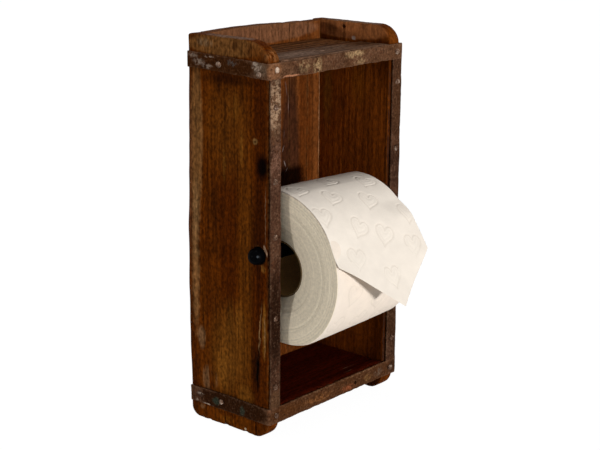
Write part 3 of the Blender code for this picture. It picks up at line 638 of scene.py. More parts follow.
BOTTOM_BAND_MARKS_AND_PAINTED_SHADE = [
    # painted shade: the first two marks make the bottom band darker than the top one, on its front
    # and its left side
    Mark((0, FRONT_Y, -127), (90, 4, 10), (0.054, 0.0185, 0.0055), 0.75, 0.2),
    Mark((SIDE_X, -40, -127), (3, 44, 10), (0.025, 0.0066, 0.0010), 0.92, 0.2),
    Mark((SIDE_X, -8, -126.5), (3, 9, 5), (0.100, 0.060, 0.042), broken=True),
    Mark((SIDE_X, -11, -125.6), (3, 6, 1.2), FLAKE, 0.75, broken=True),
    Mark((SIDE_X, -7.5, -131.5), (3, 3, 2), FLAKE, 0.7, broken=True),
    Mark((SIDE_X, -18, -132.9), (3, 8, 1.1), FLAKE, 0.85, broken=True),
    Mark((SIDE_X, -27, -128.2), (3, 5, 4.4), (0.036, 0.046, 0.030), 0.9),
    Mark((SIDE_X, -53.4, -128.9), (3, 3.2, 5), (0.040, 0.050, 0.034), 0.7),
    Mark((15, FRONT_Y, -129.5), (13, 3, 3.4), (0.22, 0.062, 0.024), 0.75, broken=True),
    Mark((53, FRONT_Y, -127.5), (7, 3, 4.2), (0.105, 0.068, 0.046), 0.7, broken=True),
    Mark((40, FRONT_Y, -128), (7, 3, 4), (0.18, 0.088, 0.030), 0.6, broken=True),
    Mark((-52, FRONT_Y, -127), (22, 4, 7), (0.072, 0.0235, 0.0055), 0.6, 0.9),
    Mark((-20, FRONT_Y, -128), (22, 3, 4), (0.20, 0.075, 0.022), 0.6, broken=True),
    Mark((10, FRONT_Y, -121.6), (70, 3, 0.7), (0.19, 0.098, 0.045), 0.6, broken=True),
    Mark((72, FRONT_Y, -127), (8, 4, 8), DARK_IRON, 0.6),
]
STRAP_TONES = [
    (0.32, (0.026, 0.0098, 0.0048)),
    (0.50, (0.050, 0.0212, 0.0113)),
    (0.66, (0.080, 0.0375, 0.0210)),
]
STRAP_FRONT_Y = -80.3
LEFT_X, RIGHT_X = -68, 68.8
# The broad marks here are painted light and shade: the straps lighter at the top and darker low
# down. The broken ones are scale.
STRAP_MARKS_AND_PAINTED_SHADE = [
    Mark((LEFT_X, STRAP_FRONT_Y, 98), (9, 3, 30), (0.118, 0.056, 0.0275), 0.8, 0.7),
    Mark((LEFT_X, STRAP_FRONT_Y, 103), (9, 3, 24), (0.360, 0.232, 0.142), 0.7, 0.5, broken=True),
    Mark((-67, STRAP_FRONT_Y, 58), (9, 3, 24), (0.230, 0.110, 0.070), 0.5, 0.7, broken=True),
    Mark((LEFT_X, STRAP_FRONT_Y, 30), (9, 3, 42), (0.072, 0.032, 0.018), 0.7),
    Mark((LEFT_X, STRAP_FRONT_Y, -54), (9, 3, 46), (0.016, 0.0056, 0.0024), 0.92, 0.5),
    Mark((LEFT_X, STRAP_FRONT_Y, -116), (9, 3, 14), (0.085, 0.040, 0.018), 0.7, 0.7),
    Mark((RIGHT_X, STRAP_FRONT_Y, 90), (9, 3, 60), (0.064, 0.0255, 0.0102), 0.7, 0.8),
    Mark((RIGHT_X, STRAP_FRONT_Y, -50), (9, 3, 80), (0.037, 0.0145, 0.0056)),
]
band_iron = iron("band_iron_rusty", BAND_TONES, TOP_BAND_MARKS + BOTTOM_BAND_MARKS_AND_PAINTED_SHADE)
strap_iron = iron("strap_iron_rusty", STRAP_TONES, STRAP_MARKS_AND_PAINTED_SHADE, 0.12)

NAIL_TONES = [
    (0.36, (0.060, 0.028, 0.016)),
    (0.52, (0.150, 0.085, 0.055)),
    (0.64, (0.330, 0.230, 0.170)),
]
NAIL_PAINTED_LIGHT_MARKS = [
    # painted light: nails low down and on the right strap are made darker, as shade, and the top
    # left one paler, as a highlight
    Mark((0, -80, -90), (100, 14, 84), (0.070, 0.034, 0.020), 0.7, 0.2),
    Mark((-68, -80, 127), (5, 4, 5), (0.60, 0.44, 0.32), 0.6),
    Mark((71, -80, 20), (14, 8, 90), (0.060, 0.028, 0.016), 0.75, 0.2),
]
nail_iron = iron("nail_iron_worn", NAIL_TONES, NAIL_PAINTED_LIGHT_MARKS, 0.5, (0.60, 0.48, 0.38), 0.5)

# %% [markdown]
# Paper is nearly white and quite matt. The end of a roll is the cut edges of hundreds of layers:
# it looks darker and a little grey, with fine rings, so the roll's ends get rings of noise that
# depend only on the distance from the roll's axis. The mesh carries an attribute named cut, which
# is 1 on the two cut ends, and one named pressed for the grooves of its hearts. There the paper is
# painted darker: painted shade, for the shade in the grooves.

# %% Paper, card and black finishes
ROLL_AXIS = (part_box("cardboard_core")[0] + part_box("cardboard_core")[1]) / 2
PAPER_WHITE = (0.865, 0.780, 0.680)
ROLL_WHITE = (0.850, 0.740, 0.630)
CUT_EDGE = (0.925, 0.805, 0.610)
# painted shade in the hearts' grooves: its tone, and how much of it is laid there
GROOVE_SHADE_TONE = (0.60, 0.52, 0.43)
GROOVE_SHADE_SHARE = 0.32
CARD_TONE = (0.50, 0.29, 0.10)
LACQUER_TONE = (0.0012, 0.0012, 0.0016)


def paper(name, tone, cut=False):
    finish = Finish(name, 0.9, specular=0.08)
    colour = finish.varied(tone, finish.cloud(120.0), 0.965, 1.03)
    # painted shade in the grooves of the hearts
    colour = finish.stained(colour, GROOVE_SHADE_TONE, finish.carried("pressed"), GROOVE_SHADE_SHARE)
    normal = finish.relief(finish.cloud(1600.0, 4.0, 0.6), 0.00012)
    if cut:
        away = finish.vector("SUBTRACT", finish.place, ROLL_AXIS)
        radius = finish.vector("LENGTH", finish.vector("MULTIPLY", away, (0, 1, 1)))
        outwards = finish.node("ShaderNodeCombineXYZ", {"X": radius}).outputs[0]
        rings = finish.cloud(520.0, 2.0, 0.7, place=outwards)
        wide_rings = finish.cloud(230.0, 2.0, place=outwards)
        fluff = finish.cloud(520.0, 3.0, 0.6)
        edges = finish.varied(CUT_EDGE, rings, 0.87, 1.09)
        edges = finish.varied(edges, wide_rings, 0.94, 1.05)
        edges = finish.varied(edges, fluff, 0.89, 1.09)
        colour = finish.over(finish.carried("cut"), colour, edges)
        normal = finish.relief(fluff, 0.0003, finish.relief(rings, 0.0002, normal))
    return finish.done(colour, normal)


# painted shade: the core is made darker towards the roll's left end, at the mouth of the tube
CARD_PAINTED_SHADE = [
    Mark((-56, -71, -20), (7, 60, 60), (0.10, 0.070, 0.035), 0.9, 0.5),
]
# painted highlight: a small pale spot on the rod's ball, where its glint shows
BALL_PAINTED_GLINT = [
    Mark((-78.9, -73.3, -4.9), (1.1, 1.0, 1.3), (0.060, 0.070, 0.080), 0.9, 0.8),
]


def card():
    finish = Finish("grey_card", 0.85, specular=0.2)
    fibres = finish.cloud(900.0, 4.0)
    # painted shade at the left end
    colour = marked(finish, finish.varied(CARD_TONE, fibres, 0.85, 1.15), CARD_PAINTED_SHADE, fibres)
    return finish.done(colour, finish.relief(fibres, 0.00006))


def black():
    finish = Finish("black_lacquer", 0.3, specular=0.010)
    scuffs = finish.cloud(500.0, 4.0)
    colour = finish.varied(LACQUER_TONE, scuffs, 0.7, 1.3)
    # the painted highlight on the ball
    colour = marked(finish, colour, BALL_PAINTED_GLINT, scuffs, 0.0008, 500.0)
    return finish.done(colour, finish.relief(scuffs, 0.00002), finish.spread(scuffs, 0.26, 0.36))


roll_paper = paper("roll_paper_white", ROLL_WHITE, cut=True)
sheet_paper = paper("sheet_paper_white", PAPER_WHITE)
core_card = card()
rod_black = black()

# %% [markdown]
# A board or bar starts as a plain slab with few faces, and is then sliced by planes into small
# cells, so that it has points enough to be worn down. A plane leaves the shape as it is and only
# adds points. More planes are set close together where a hole has to come out round.

# %% Cutting and pushing
def stations(low, high, step):
    """Evenly spaced cuts strictly between low and high."""
    count = max(2, round((high - low) / step))
    return [low + (high - low) * number / count for number in range(1, count)]


def close_cuts(middle, radius, reach, parts):
    """Cuts close together on both sides of a hole's middle."""
    return stations(middle - radius * reach, middle + radius * reach, radius / parts)


def cut_plane(bm, point, normal):
    """Cut every face that a plane goes through."""
    everything = [*bm.verts, *bm.edges, *bm.faces]
    bmesh.ops.bisect_plane(bm, geom=everything, dist=1e-7, plane_co=point, plane_no=normal)


def slice_across(bm, axis, places):
    """Cut the whole mesh by planes square to one axis."""
    for place in sorted(places):
        cut_plane(bm, AXES[axis] * place, AXES[axis])


def only(kind, geometry):
    """The points or the faces among what an operator gave back."""
    return [item for item in geometry if isinstance(item, kind)]


def push_faces(bm, faces, along):
    """Extrude faces, move the new ones along, and give them back."""
    made = bmesh.ops.extrude_face_region(bm, geom=faces)["geom"]
    bmesh.ops.translate(bm, vec=along, verts=only(bmesh.types.BMVert, made))
    return only(bmesh.types.BMFace, made)


# %% [markdown]
# Two plain shapes are needed again and again: a slab with softened edges for boards and straps,
# and a turned shape for the nails, the rod and the roll. A turned shape is half its outline,
# spun a full turn; the points that meet on the axis and at the seam are then merged.

# %% Slabs and turned shapes
def soften(bm, width, least_turn_deg=30):
    """Round the sharp edges of a slab."""
    least = math.radians(least_turn_deg)
    sharp = [edge for edge in bm.edges if edge.is_manifold and edge.calc_face_angle() > least]
    bmesh.ops.bevel(
        bm, geom=sharp, offset=width, offset_type="OFFSET", segments=2,
        profile=0.5, affect="EDGES", material=-1, clamp_overlap=True,
    )


def slab(low, high, edge):
    """A plain slab between two corners, with softened edges."""
    bm = bmesh.new()
    bmesh.ops.create_cube(bm, size=1)
    bmesh.ops.scale(bm, vec=high - low, verts=bm.verts)
    bmesh.ops.translate(bm, vec=(low + high) / 2, verts=bm.verts)
    soften(bm, edge)
    return bm


def spin_round(bm, profile, centre, axis, steps, closed=False, merge=1e-6):
    """Make a line of points, spin it a full turn about an axis and close the shape."""
    line = [bm.verts.new(point) for point in profile]
    edges = [bm.edges.new(pair) for pair in zip(line, line[1:])]
    if closed:
        edges.append(bm.edges.new((line[-1], line[0])))
    bmesh.ops.spin(
        bm, geom=line + edges, cent=centre, axis=axis, angle=math.tau, steps=steps,
        use_merge=True, use_duplicate=False,
    )
    bmesh.ops.remove_doubles(bm, verts=bm.verts, dist=merge)
    bmesh.ops.recalc_face_normals(bm, faces=bm.faces)


# %% [markdown]
# Age is put on by moving every point a little inwards, never outwards: by slow noise for a
# surface that isn't flat, by stretched noise for the grain, and more near the edges, where wear
# rounded them unevenly. The same pass notes how worn each point is, for the material. Scars are
# grooves along a line, for cracks and gaps.

# %% Wear
def ease(share):
    """0 below 0, 1 above 1, smooth between."""
    share = min(1.0, max(0.0, share))
    return share * share * (3 - 2 * share)


def line_distance(point, start, end):
    """How far a point is from a stretch of line."""
    along = end - start
    share = min(1.0, max(0.0, (point - start).dot(along) / along.length_squared))
    return (point - start - along * share).length


GRAIN_SQUEEZE = 0.06
WAVES_PER_M, PATCHES_PER_M, GRAIN_PER_M, FINE_GRAIN_PER_M = 45, 70, 420, 900
EDGE_TURN = 0.975


def weather(bm, grain_axis, wave, grain, wear, reach, seed, scars=()):
    """Move every point inwards as age did, and note in the mesh how worn it is."""
    bm.normal_update()
    worn = bm.verts.layers.float.new("worn")
    edge_points = [
        vert for vert in bm.verts
        if any(face.normal.dot(vert.normal) < EDGE_TURN for face in vert.link_faces)
    ]
    tree = KDTree(len(edge_points))
    for index, vert in enumerate(edge_points):
        tree.insert(vert.co, index)
    tree.balance()
    stretch = Vector((1, 1, 1))
    stretch[grain_axis] = GRAIN_SQUEEZE
    shift = Vector((seed * 3.7, seed * 1.9, seed * 5.3))
    moves = []
    for vert in bm.verts:
        place = vert.co * stretch
        near = max(0.0, 1 - tree.find(vert.co)[2] / (reach * MM))
        patchy = 0.55 + 0.9 * noise.noise(vert.co * PATCHES_PER_M + shift)
        slow = vert.co * WAVES_PER_M * stretch.length / 1.7
        depth = wave * (0.5 + noise.noise(slow + shift))
        depth += grain * (0.5 + noise.noise(place * GRAIN_PER_M + shift))
        depth += grain * 0.6 * (0.5 + noise.noise(place * FINE_GRAIN_PER_M + shift))
        depth += wear * near * near * max(0.1, patchy)
        vert[worn] = max(0.0, min(1.0, near * near * (0.4 + 1.2 * max(0.0, patchy))))
        for start, end, width, deep in scars:
            away = line_distance(vert.co, Vector(start) * MM, Vector(end) * MM)
            depth += deep * ease(1 - away / (width * MM))
        moves.append(vert.normal * (-max(0.0, depth) * MM))
    for vert, move in zip(bm.verts, moves):
        vert.co += move


# %% [markdown]
# A round hole in a sliced board is opened by taking out the faces inside its circle and moving
# the points of the rim onto the circle. A hole right through is walled by bridging its two rims,
# and a blind one by pushing its rim in and closing it with a floor. Every finished mesh then
# becomes a piece that rides on its body and stands for its CAD node.

# %% Holes and pieces
def round_hole(bm, axis, centre, radius, depth=None):
    """Open a round hole along an axis; depth None goes right through, else it is blind."""
    flat = Vector((1, 1, 1)) - AXES[axis]
    side = 0 if depth is None else (1 if depth < 0 else -1)
    doomed = [
        face for face in bm.faces
        if abs(face.normal[axis]) > 0.9
        and ((face.calc_center_median() - centre) * flat).length < radius
        and (not side or face.normal[axis] * side > 0)
    ]
    bmesh.ops.delete(bm, geom=doomed, context="FACES")
    rim = [edge for edge in bm.edges if edge.is_boundary]
    for vert in {vert for edge in rim for vert in edge.verts}:
        arm = (vert.co - centre) * flat
        vert.co += arm.normalized() * radius - arm
    if depth is None:
        bmesh.ops.bridge_loops(bm, edges=rim)
    else:
        pushed = bmesh.ops.extrude_edge_only(bm, edges=rim)["geom"]
        bmesh.ops.translate(bm, vec=AXES[axis] * depth, verts=only(bmesh.types.BMVert, pushed))
        rim = [edge for edge in bm.edges if edge.is_boundary]
        bmesh.ops.contextual_create(bm, geom=rim)
    bmesh.ops.recalc_face_normals(bm, faces=bm.faces)


def piece(name, bm, body, nodes, material, smooth_deg=38):
    """Make the finished mesh a piece of the holder that stands for its CAD nodes."""
    mesh = bpy.data.meshes.new(name)
    bm.to_mesh(mesh)
    bm.free()
    mesh.shade_smooth()
    mesh.set_sharp_from_angle(angle=math.radians(smooth_deg))
    mesh.materials.append(material)
    obj = add_object(name, mesh)
    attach(obj, body)
    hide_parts(*nodes)
    print(name, "has", len(mesh.polygons), "faces")
    return obj


# %% [markdown]
# A side board seen from the side is a rectangle with four round corners: small ones at the back
# and large ones at the gallery and the foot in front. The rectangle's corners are bevelled as
# points, which rounds the outline, and the face is then pushed out to the board's thickness. The
# rod's hole goes through the left board, and a blind one takes the rod's end in the right board.
# In the old mould neither side stayed straight: the left one bows out towards its back edge, and
# the right one flares out low down, and the iron on them with it.

# %% How the sides bow and flare
BOW_FROM_X = -70.0 * MM
BOW_LEAST, BOW_MORE = 0.7, 3.0
BOW_MIDDLE_Z, BOW_TALL = -35, 105
BOW_REACH_Y = 46.0
FLARE_FROM_X = 63.0 * MM
FLARE_LEAST, FLARE_MORE = 0.6, 1.2
FLARE_BELOW_Z, FLARE_TALL = -20, 100
FLARE_ACROSS = 9 * MM


def swell(bm):
    """Move the points of a side, or of the iron on it, outwards as the mould warped."""
    for vert in bm.verts:
        height = vert.co.z / MM
        if vert.co.x < BOW_FROM_X:
            bow = BOW_MORE * math.exp(-((height - BOW_MIDDLE_Z) / BOW_TALL) ** 2) + BOW_LEAST
            vert.co.x -= bow * ease(1 + vert.co.y / MM / BOW_REACH_Y) * MM
        if vert.co.x > FLARE_FROM_X:
            flare = FLARE_LEAST + FLARE_MORE * ease((FLARE_BELOW_Z - height) / FLARE_TALL)
            vert.co.x += flare * ease((vert.co.x - FLARE_FROM_X) / FLARE_ACROSS) * MM


# %% The outline of a side board
FOOT_FRONT, FOOT_BACK, GALLERY_BACK, GALLERY_FRONT = 14.3 * MM, 8 * MM, 2 * MM, 13.4 * MM
GALLERY_CURVES = {"left_side_board": (1.62, 1.65), "right_side_board": (1.2, 1.9)}
CORNER_STEPS = 10


def flatten_gallery_corner(bm, front_y, top_z, stretch, power):
    """Draw the round front corner out into the longer, flatter curve of the old board."""
    for vert in bm.verts:
        ahead = 1 - (vert.co.y - front_y) / GALLERY_FRONT
        up = 1 - (top_z - vert.co.z) / GALLERY_FRONT
        if ahead > -0.001 and up > -0.001:
            ahead, up = max(0.0, ahead), max(0.0, up)
            draw = 1 / (ahead ** power + up ** power) ** (1 / power)
            vert.co.y = front_y + GALLERY_FRONT * (1 - ahead * draw) * stretch
            vert.co.z = top_z - GALLERY_FRONT * (1 - up * draw)


def board_outline(low, high, stretch, power):
    """The board's outline as one face at its left side, its corners rounded one by one."""
    bm = bmesh.new()
    corners = [(low.y, low.z), (high.y, low.z), (high.y, high.z), (low.y, high.z)]
    ring = [bm.verts.new((low.x, y, z)) for y, z in corners]
    bm.faces.new(ring)
    for vert, radius in zip(ring, (FOOT_FRONT, FOOT_BACK, GALLERY_BACK, GALLERY_FRONT)):
        bmesh.ops.bevel(
            bm, geom=[vert], offset=radius, offset_type="OFFSET",
            segments=CORNER_STEPS, profile=0.5, affect="VERTICES", material=-1,
        )
    flatten_gallery_corner(bm, low.y, high.z, stretch, power)
    return bm


# %% Side boards
WOOD_CELL = 1.7 * MM
FINE_CELL = 0.45 * MM
THICK_CELL = 2.6 * MM
ROD_HOLE_RADIUS = 6.5 * MM
ROD_AT = (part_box("roll_rod")[0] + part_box("roll_rod")[1]) / 2
ROD_SEAT_DEPTH = 8.3 * MM
OLD_HOLE = Vector((61.4, -32.9, 142.5)) * MM
OLD_HOLE_RADIUS = 1.4 * MM
OLD_HOLE_DEPTH = 6 * MM


def side_board(name, node, material, seed, holes, scars=(), fine_y=None):
    low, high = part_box(node)
    bm = board_outline(low, high, *GALLERY_CURVES[node])
    push_faces(bm, bm.faces[:], (high.x - low.x, 0, 0))
    bmesh.ops.recalc_face_normals(bm, faces=bm.faces)
    soften(bm, 0.6 * MM)
    y_cuts = stations(low.y, high.y, WOOD_CELL)
    z_cuts = stations(low.z, high.z, WOOD_CELL)
    if fine_y:
        y_cuts += stations(*fine_y, FINE_CELL)
    for centre, radius, depth in holes:
        y_cuts += close_cuts(centre.y, radius, 1.5, 4)
        z_cuts += close_cuts(centre.z, radius, 1.5, 4)
    slice_across(bm, Y, y_cuts)
    slice_across(bm, Z, z_cuts)
    for centre, radius, depth in holes:
        round_hole(bm, X, centre, radius, depth)
    slice_across(bm, X, stations(low.x, high.x, THICK_CELL))
    weather(bm, Z, wave=0.2, grain=0.10, wear=0.45, reach=2.6, seed=seed, scars=scars)
    swell(bm)
    piece(name, bm, "holder", [node], material)


LEFT_SCARS = [  # from, to, how wide and how deep, in millimetres
    ((FACE, -71.4, -30), (FACE, -69.6, -70), 0.9, 0.7),
    ((FACE, -69.6, -70), (FACE, -66.9, -98), 1.3, 1.3),
    ((FACE, -66.9, -98), (FACE, -67.5, -111), 0.9, 0.9),
    ((FACE, -65.3, -135), (FACE, -65.3, -147), 0.9, 0.9),
    ((FACE, -78.2, 90), (FACE, -77.6, 40), 1.2, 0.5),
    ((FACE, -18, -146.5), (-66, -21, -146.5), 1.8, 1.0),
    ((FACE, -35, -146.5), (-68, -37, -146.5), 2.4, 0.9),
    ((FACE, -55, -146.5), (-69, -57, -146.5), 2.2, 0.9),
    ((FACE, -71, 141), (-66, -73, 141), 1.6, 0.7),
]
SPLIT_FROM_Y, SPLIT_TO_Y = -72.5 * MM, -64 * MM
side_board(
    "left_board", "left_side_board", left_wood, 1, [(ROD_AT, ROD_HOLE_RADIUS, None)],
    LEFT_SCARS, (SPLIT_FROM_Y, SPLIT_TO_Y),
)
side_board(
    "right_board", "right_side_board", right_wood, 2,
    [(ROD_AT, ROD_HOLE_RADIUS, ROD_SEAT_DEPTH), (OLD_HOLE, OLD_HOLE_RADIUS, OLD_HOLE_DEPTH)],
)

# %% [markdown]
# The shelf, the bottom and the back are straight planks. Their slabs are sliced finer across the
# grain than along it, because all their relief runs with the grain. The shelf's two planks are
# split and worn along the seam between them, so scars follow it.

# %% Planks
PLANK_THICK_CELL = 3.0 * MM
SHELF_END_X = 61
FRONT_TOP_Z, REAR_TOP_Z = 133.1, 131.9


def shelf_scar(y_left, y_right, top_z, width, deep):
    return (-SHELF_END_X, y_left, top_z), (SHELF_END_X, y_right, top_z), width, deep


SHELF_SCARS = [shelf_scar(-49.5, -49.5, FRONT_TOP_Z, 2.2, 1.2)]
SHELF_REAR_SCARS = [
    shelf_scar(-49.2, -49.2, REAR_TOP_Z, 1.6, 0.8),
    shelf_scar(-35.5, -36.5, REAR_TOP_Z, 1.3, 1.3),
    shelf_scar(-41.5, -42.5, REAR_TOP_Z, 0.8, 0.5),
    shelf_scar(-20, -20.5, REAR_TOP_Z, 0.8, 0.4),
]


def plank(name, node, material, seed, scars=(), across_cell=1.5, along_cell=2.6):
    """A plank whose grain runs along X."""
    low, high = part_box(node)
    bm = slab(low, high, 0.5 * MM)
    slice_across(bm, X, stations(low.x, high.x, along_cell * MM))
    slice_across(bm, Y, stations(low.y, high.y, across_cell * MM))
    slice_across(bm, Z, stations(low.z, high.z, PLANK_THICK_CELL))
    weather(bm, X, wave=0.2, grain=0.12, wear=0.5, reach=2.4, seed=seed, scars=scars)
    piece(name, bm, "holder", [node], material)


plank("shelf_front", "shelf_front_plank", shelf_front_wood, 3, SHELF_SCARS, 1.0, 2.0)
plank("shelf_rear", "shelf_rear_plank", shelf_rear_wood, 4, SHELF_REAR_SCARS,
      0.8, 2.0)
plank("bottom", "bottom_board", bottom_wood, 5)

# %% The back planks, with their sunk nail pockets
POCKET_RADIUS = 2.5 * MM
POCKET_DEPTH = 1.7 * MM
GALLERY_FOOT_Z = 134 * MM
BACK_CELL_X, BACK_CELL_Z = 1.6 * MM, 2.6 * MM


def back_plank(side, seed, crown=0.0):
    node = f"back_plank_{side}"
    low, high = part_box(node)
    bm = slab(low, high, 0.3 * MM)
    pockets = []
    x_cuts = stations(low.x, high.x, BACK_CELL_X)
    z_cuts = stations(low.z, high.z, BACK_CELL_Z)
    for end in ("top", "bottom"):
        nail_low, nail_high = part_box(f"nail_back_{side}_{end}")
        middle = (nail_low + nail_high) / 2
        pockets.append(Vector((middle.x, high.y, middle.z)))
        x_cuts += close_cuts(pockets[-1].x, POCKET_RADIUS, 1.4, 3)
        z_cuts += close_cuts(pockets[-1].z, POCKET_RADIUS, 1.4, 3)
    slice_across(bm, X, x_cuts)
    slice_across(bm, Z, z_cuts)
    for pocket in pockets:
        round_hole(bm, Y, pocket, POCKET_RADIUS, -POCKET_DEPTH)
    weather(bm, Z, wave=0.12, grain=0.10, wear=0.2, reach=1.6, seed=seed)
    for vert in bm.verts:
        share = (vert.co.x - low.x) / (high.x - low.x)
        top = ease((vert.co.z - GALLERY_FOOT_Z) / (high.z - GALLERY_FOOT_Z))
        vert.co.z += crown * top * math.sin(math.pi * (0.12 + 0.76 * share)) * MM
    piece(f"back_{side}", bm, "holder", [node], back_wood)


back_plank("left", 6, 1.7)
back_plank("middle", 7, 0.5)
back_plank("right", 8)

# %% [markdown]
# Each band is one flat bar bent round the left side, the front and the right side. Its cross
# section is pushed along the left arm, spun round the first bend, pushed along the front, spun
# round the second bend and pushed along the right arm: the same steps as bending the real bar.
# Rust then pits its faces, and its long edges are drawn in a little, unevenly.

# %% Rust on iron
PITS_PER_M = 520
PIT_DEPTH = 0.28
PIT_FROM = 0.12
FINE_PITS, FINE_PIT_SHARE = 2.3, 0.4


def pit_surface(bm, seed):
    """Press small rust pits into the iron."""
    bm.normal_update()
    for vert in bm.verts:
        here = vert.co * PITS_PER_M + Vector((seed, seed, seed))
        fine = FINE_PIT_SHARE * max(0.0, noise.noise(here * FINE_PITS))
        pit = max(0.0, noise.noise(here) - PIT_FROM) + fine
        vert.co -= vert.normal * (PIT_DEPTH * pit * MM)


def rough_edge(here, least, slow, fast, fast_share):
    """How ragged an edge is at a place: two noises over a least amount, never below 0."""
    return max(0.0, least + noise.noise(here * slow) + fast_share * noise.noise(here * fast))


# %% Bending a flat bar
BEND_RADIUS = 2.7 * MM
BEND_STEPS = 5
IRON_THICKNESS = 1.8 * MM


def push_on(bm, face, along):
    """Lengthen the bar at its open end, and give back its new end."""
    end = push_faces(bm, [face], along)[0]
    bmesh.ops.delete(bm, geom=[face], context="FACES_ONLY")
    return end


def bend_on(bm, face, centre):
    """Spin the open end of the bar a quarter turn to the right round a centre."""
    spun = bmesh.ops.spin(
        bm, geom=[*face.verts, *face.edges, face], cent=centre, axis=(0, 0, 1),
        angle=math.pi / 2, steps=BEND_STEPS, use_merge=False, use_duplicate=False,
    )
    end = only(bmesh.types.BMFace, spun["geom_last"])[0]
    if face.is_valid:
        bmesh.ops.delete(bm, geom=[face], context="FACES_ONLY")
    return end


def bent_bar(low, high):
    """The flat bar of a band, in one piece from the end of its left arm to that of its right."""
    bm = bmesh.new()
    bmesh.ops.create_grid(bm, x_segments=1, y_segments=1, size=0.5)
    stand = Matrix.Rotation(math.pi / 2, 3, "X")
    bmesh.ops.rotate(bm, verts=bm.verts, cent=(0, 0, 0), matrix=stand)
    bmesh.ops.scale(bm, vec=(IRON_THICKNESS, 1, high.z - low.z), verts=bm.verts)
    middle = (low.z + high.z) / 2
    at = Vector((low.x + IRON_THICKNESS / 2, high.y, middle))
    bmesh.ops.translate(bm, vec=at, verts=bm.verts)
    arm = low.y + BEND_RADIUS - high.y
    face = push_faces(bm, bm.faces[:], (0, arm, 0))[0]
    face = bend_on(bm, face, (low.x + BEND_RADIUS, low.y + BEND_RADIUS, middle))
    face = push_on(bm, face, (high.x - low.x - 2 * BEND_RADIUS, 0, 0))
    face = bend_on(bm, face, (high.x - BEND_RADIUS, low.y + BEND_RADIUS, middle))
    push_on(bm, face, (0, -arm, 0))
    bmesh.ops.remove_doubles(bm, verts=bm.verts, dist=1e-6)
    bmesh.ops.recalc_face_normals(bm, faces=bm.faces)
    return bm


# %% Iron bands
IRON_CELL = 1.1 * MM
BAND_RAGGED = 0.6
EMPTY_HOLE = Vector((24.7, -80.7, -128.3)) * MM
STRAP_INNER_X = 60 * MM
STRAP_BACK_Y = -78 * MM
CASE_WIDTH = 150 * MM


def ragged_edges(bm, low_z, high_z, seed):
    """Draw the bar's long edges in a little, as hammering and rust left them."""
    for vert in bm.verts:
        share = (vert.co.z - low_z) / (high_z - low_z) * 2 - 1
        here = Vector((vert.co.x, vert.co.y, math.copysign(0.3, share) + seed))
        drawn = BAND_RAGGED * rough_edge(here, 0.3, 55, 190, 0.7)
        if abs(vert.co.x) > STRAP_INNER_X and vert.co.y < STRAP_BACK_Y:
            drawn *= 0.2
        vert.co.z -= share * drawn * MM


def set_askew(bm, left_back, left_front, right):
    """Tilt a band as it was nailed: millimetres up at three of its corners."""
    low_y = min(vert.co.y for vert in bm.verts)
    for vert in bm.verts:
        along = min(1.0, max(0.0, vert.co.x / CASE_WIDTH + 0.5))
        back = 1 - vert.co.y / low_y
        left = left_front + (left_back - left_front) * back
        vert.co.z += (left + (right - left) * along) * MM


def band(name, node, seed, hole=None, askew=(0, 0, 0)):
    low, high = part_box(node)
    bm = bent_bar(low, high)
    soften(bm, 0.35 * MM, 50)
    x_cuts = stations(low.x + BEND_RADIUS, high.x - BEND_RADIUS, IRON_CELL)
    z_cuts = stations(low.z, high.z, IRON_CELL)
    if hole:
        x_cuts += close_cuts(hole.x, OLD_HOLE_RADIUS, 1.5, 3)
        z_cuts += close_cuts(hole.z, OLD_HOLE_RADIUS, 1.5, 3)
    slice_across(bm, X, x_cuts)
    slice_across(bm, Y, stations(low.y + BEND_RADIUS, high.y, IRON_CELL))
    slice_across(bm, Z, z_cuts)
    if hole:
        round_hole(bm, Y, hole, OLD_HOLE_RADIUS)
    weather(bm, X, wave=0.16, grain=0.0, wear=0.2, reach=1.4, seed=seed)
    pit_surface(bm, seed)
    ragged_edges(bm, low.z, high.z, seed)
    set_askew(bm, *askew)
    swell(bm)
    piece(name, bm, "holder", [node], band_iron)


band("top_band", "top_iron_band", 11, askew=(1.2, -0.9, 0.1))
band("bottom_band", "bottom_iron_band", 12, EMPTY_HOLE)

# %% [markdown]
# The straps are lengths of the same flat bar on the front edges of the side boards. They are
# slabs with small cells, pitted in the same way, and their long edges wander a little. Their
# ends are tucked just under the bands, so that no gap shows there.

# %% Iron straps
STRAP_TUCK = 0.9 * MM
STRAP_RAGGED = 0.4
STRAP_CELL_X, STRAP_CELL_Z = 1.0 * MM, 1.2 * MM


def strap(name, node, seed, narrow=0.0):
    low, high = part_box(node)
    low.x += narrow
    low.z -= STRAP_TUCK
    high.z += STRAP_TUCK
    bm = slab(low, high, 0.35 * MM)
    slice_across(bm, X, stations(low.x, high.x, STRAP_CELL_X))
    slice_across(bm, Z, stations(low.z, high.z, STRAP_CELL_Z))
    weather(bm, Z, wave=0.22, grain=0.0, wear=0.3, reach=1.4, seed=seed)
    pit_surface(bm, seed)
    middle = (low.x + high.x) / 2
    half = (high.x - low.x) / 2
    for vert in bm.verts:
        share = (vert.co.x - middle) / half
        here = Vector((math.copysign(0.2, share) + seed, 0, vert.co.z))
        vert.co.x -= share * (STRAP_RAGGED * rough_edge(here, 0.4, 40, 150, 0.5)) * MM
    swell(bm)
    piece(name, bm, "holder", [node], strap_iron)


strap("left_strap", "left_front_strap", 13, narrow=1.2 * MM)
strap("right_strap", "right_front_strap", 14)

# %% [markdown]
# Nails are turned: half of the outline is spun about the nail's axis. Old hand-set heads are
# never alike, so each one is knocked out of round by seeded noise, and two on each strap, low
# down, have worn to a ring with a hollow middle.

# %% Nails
HEAD_RISE = 0.9
NAIL_RIM_SINK = 0.45
NAIL_STEPS = 20
KNOCK, KNOCK_IN, KNOCKS_PER_M = 0.16, 0.35, 900
RINGED = {"nail_left_strap_1", "nail_left_strap_2", "nail_right_strap_1", "nail_right_strap_2"}


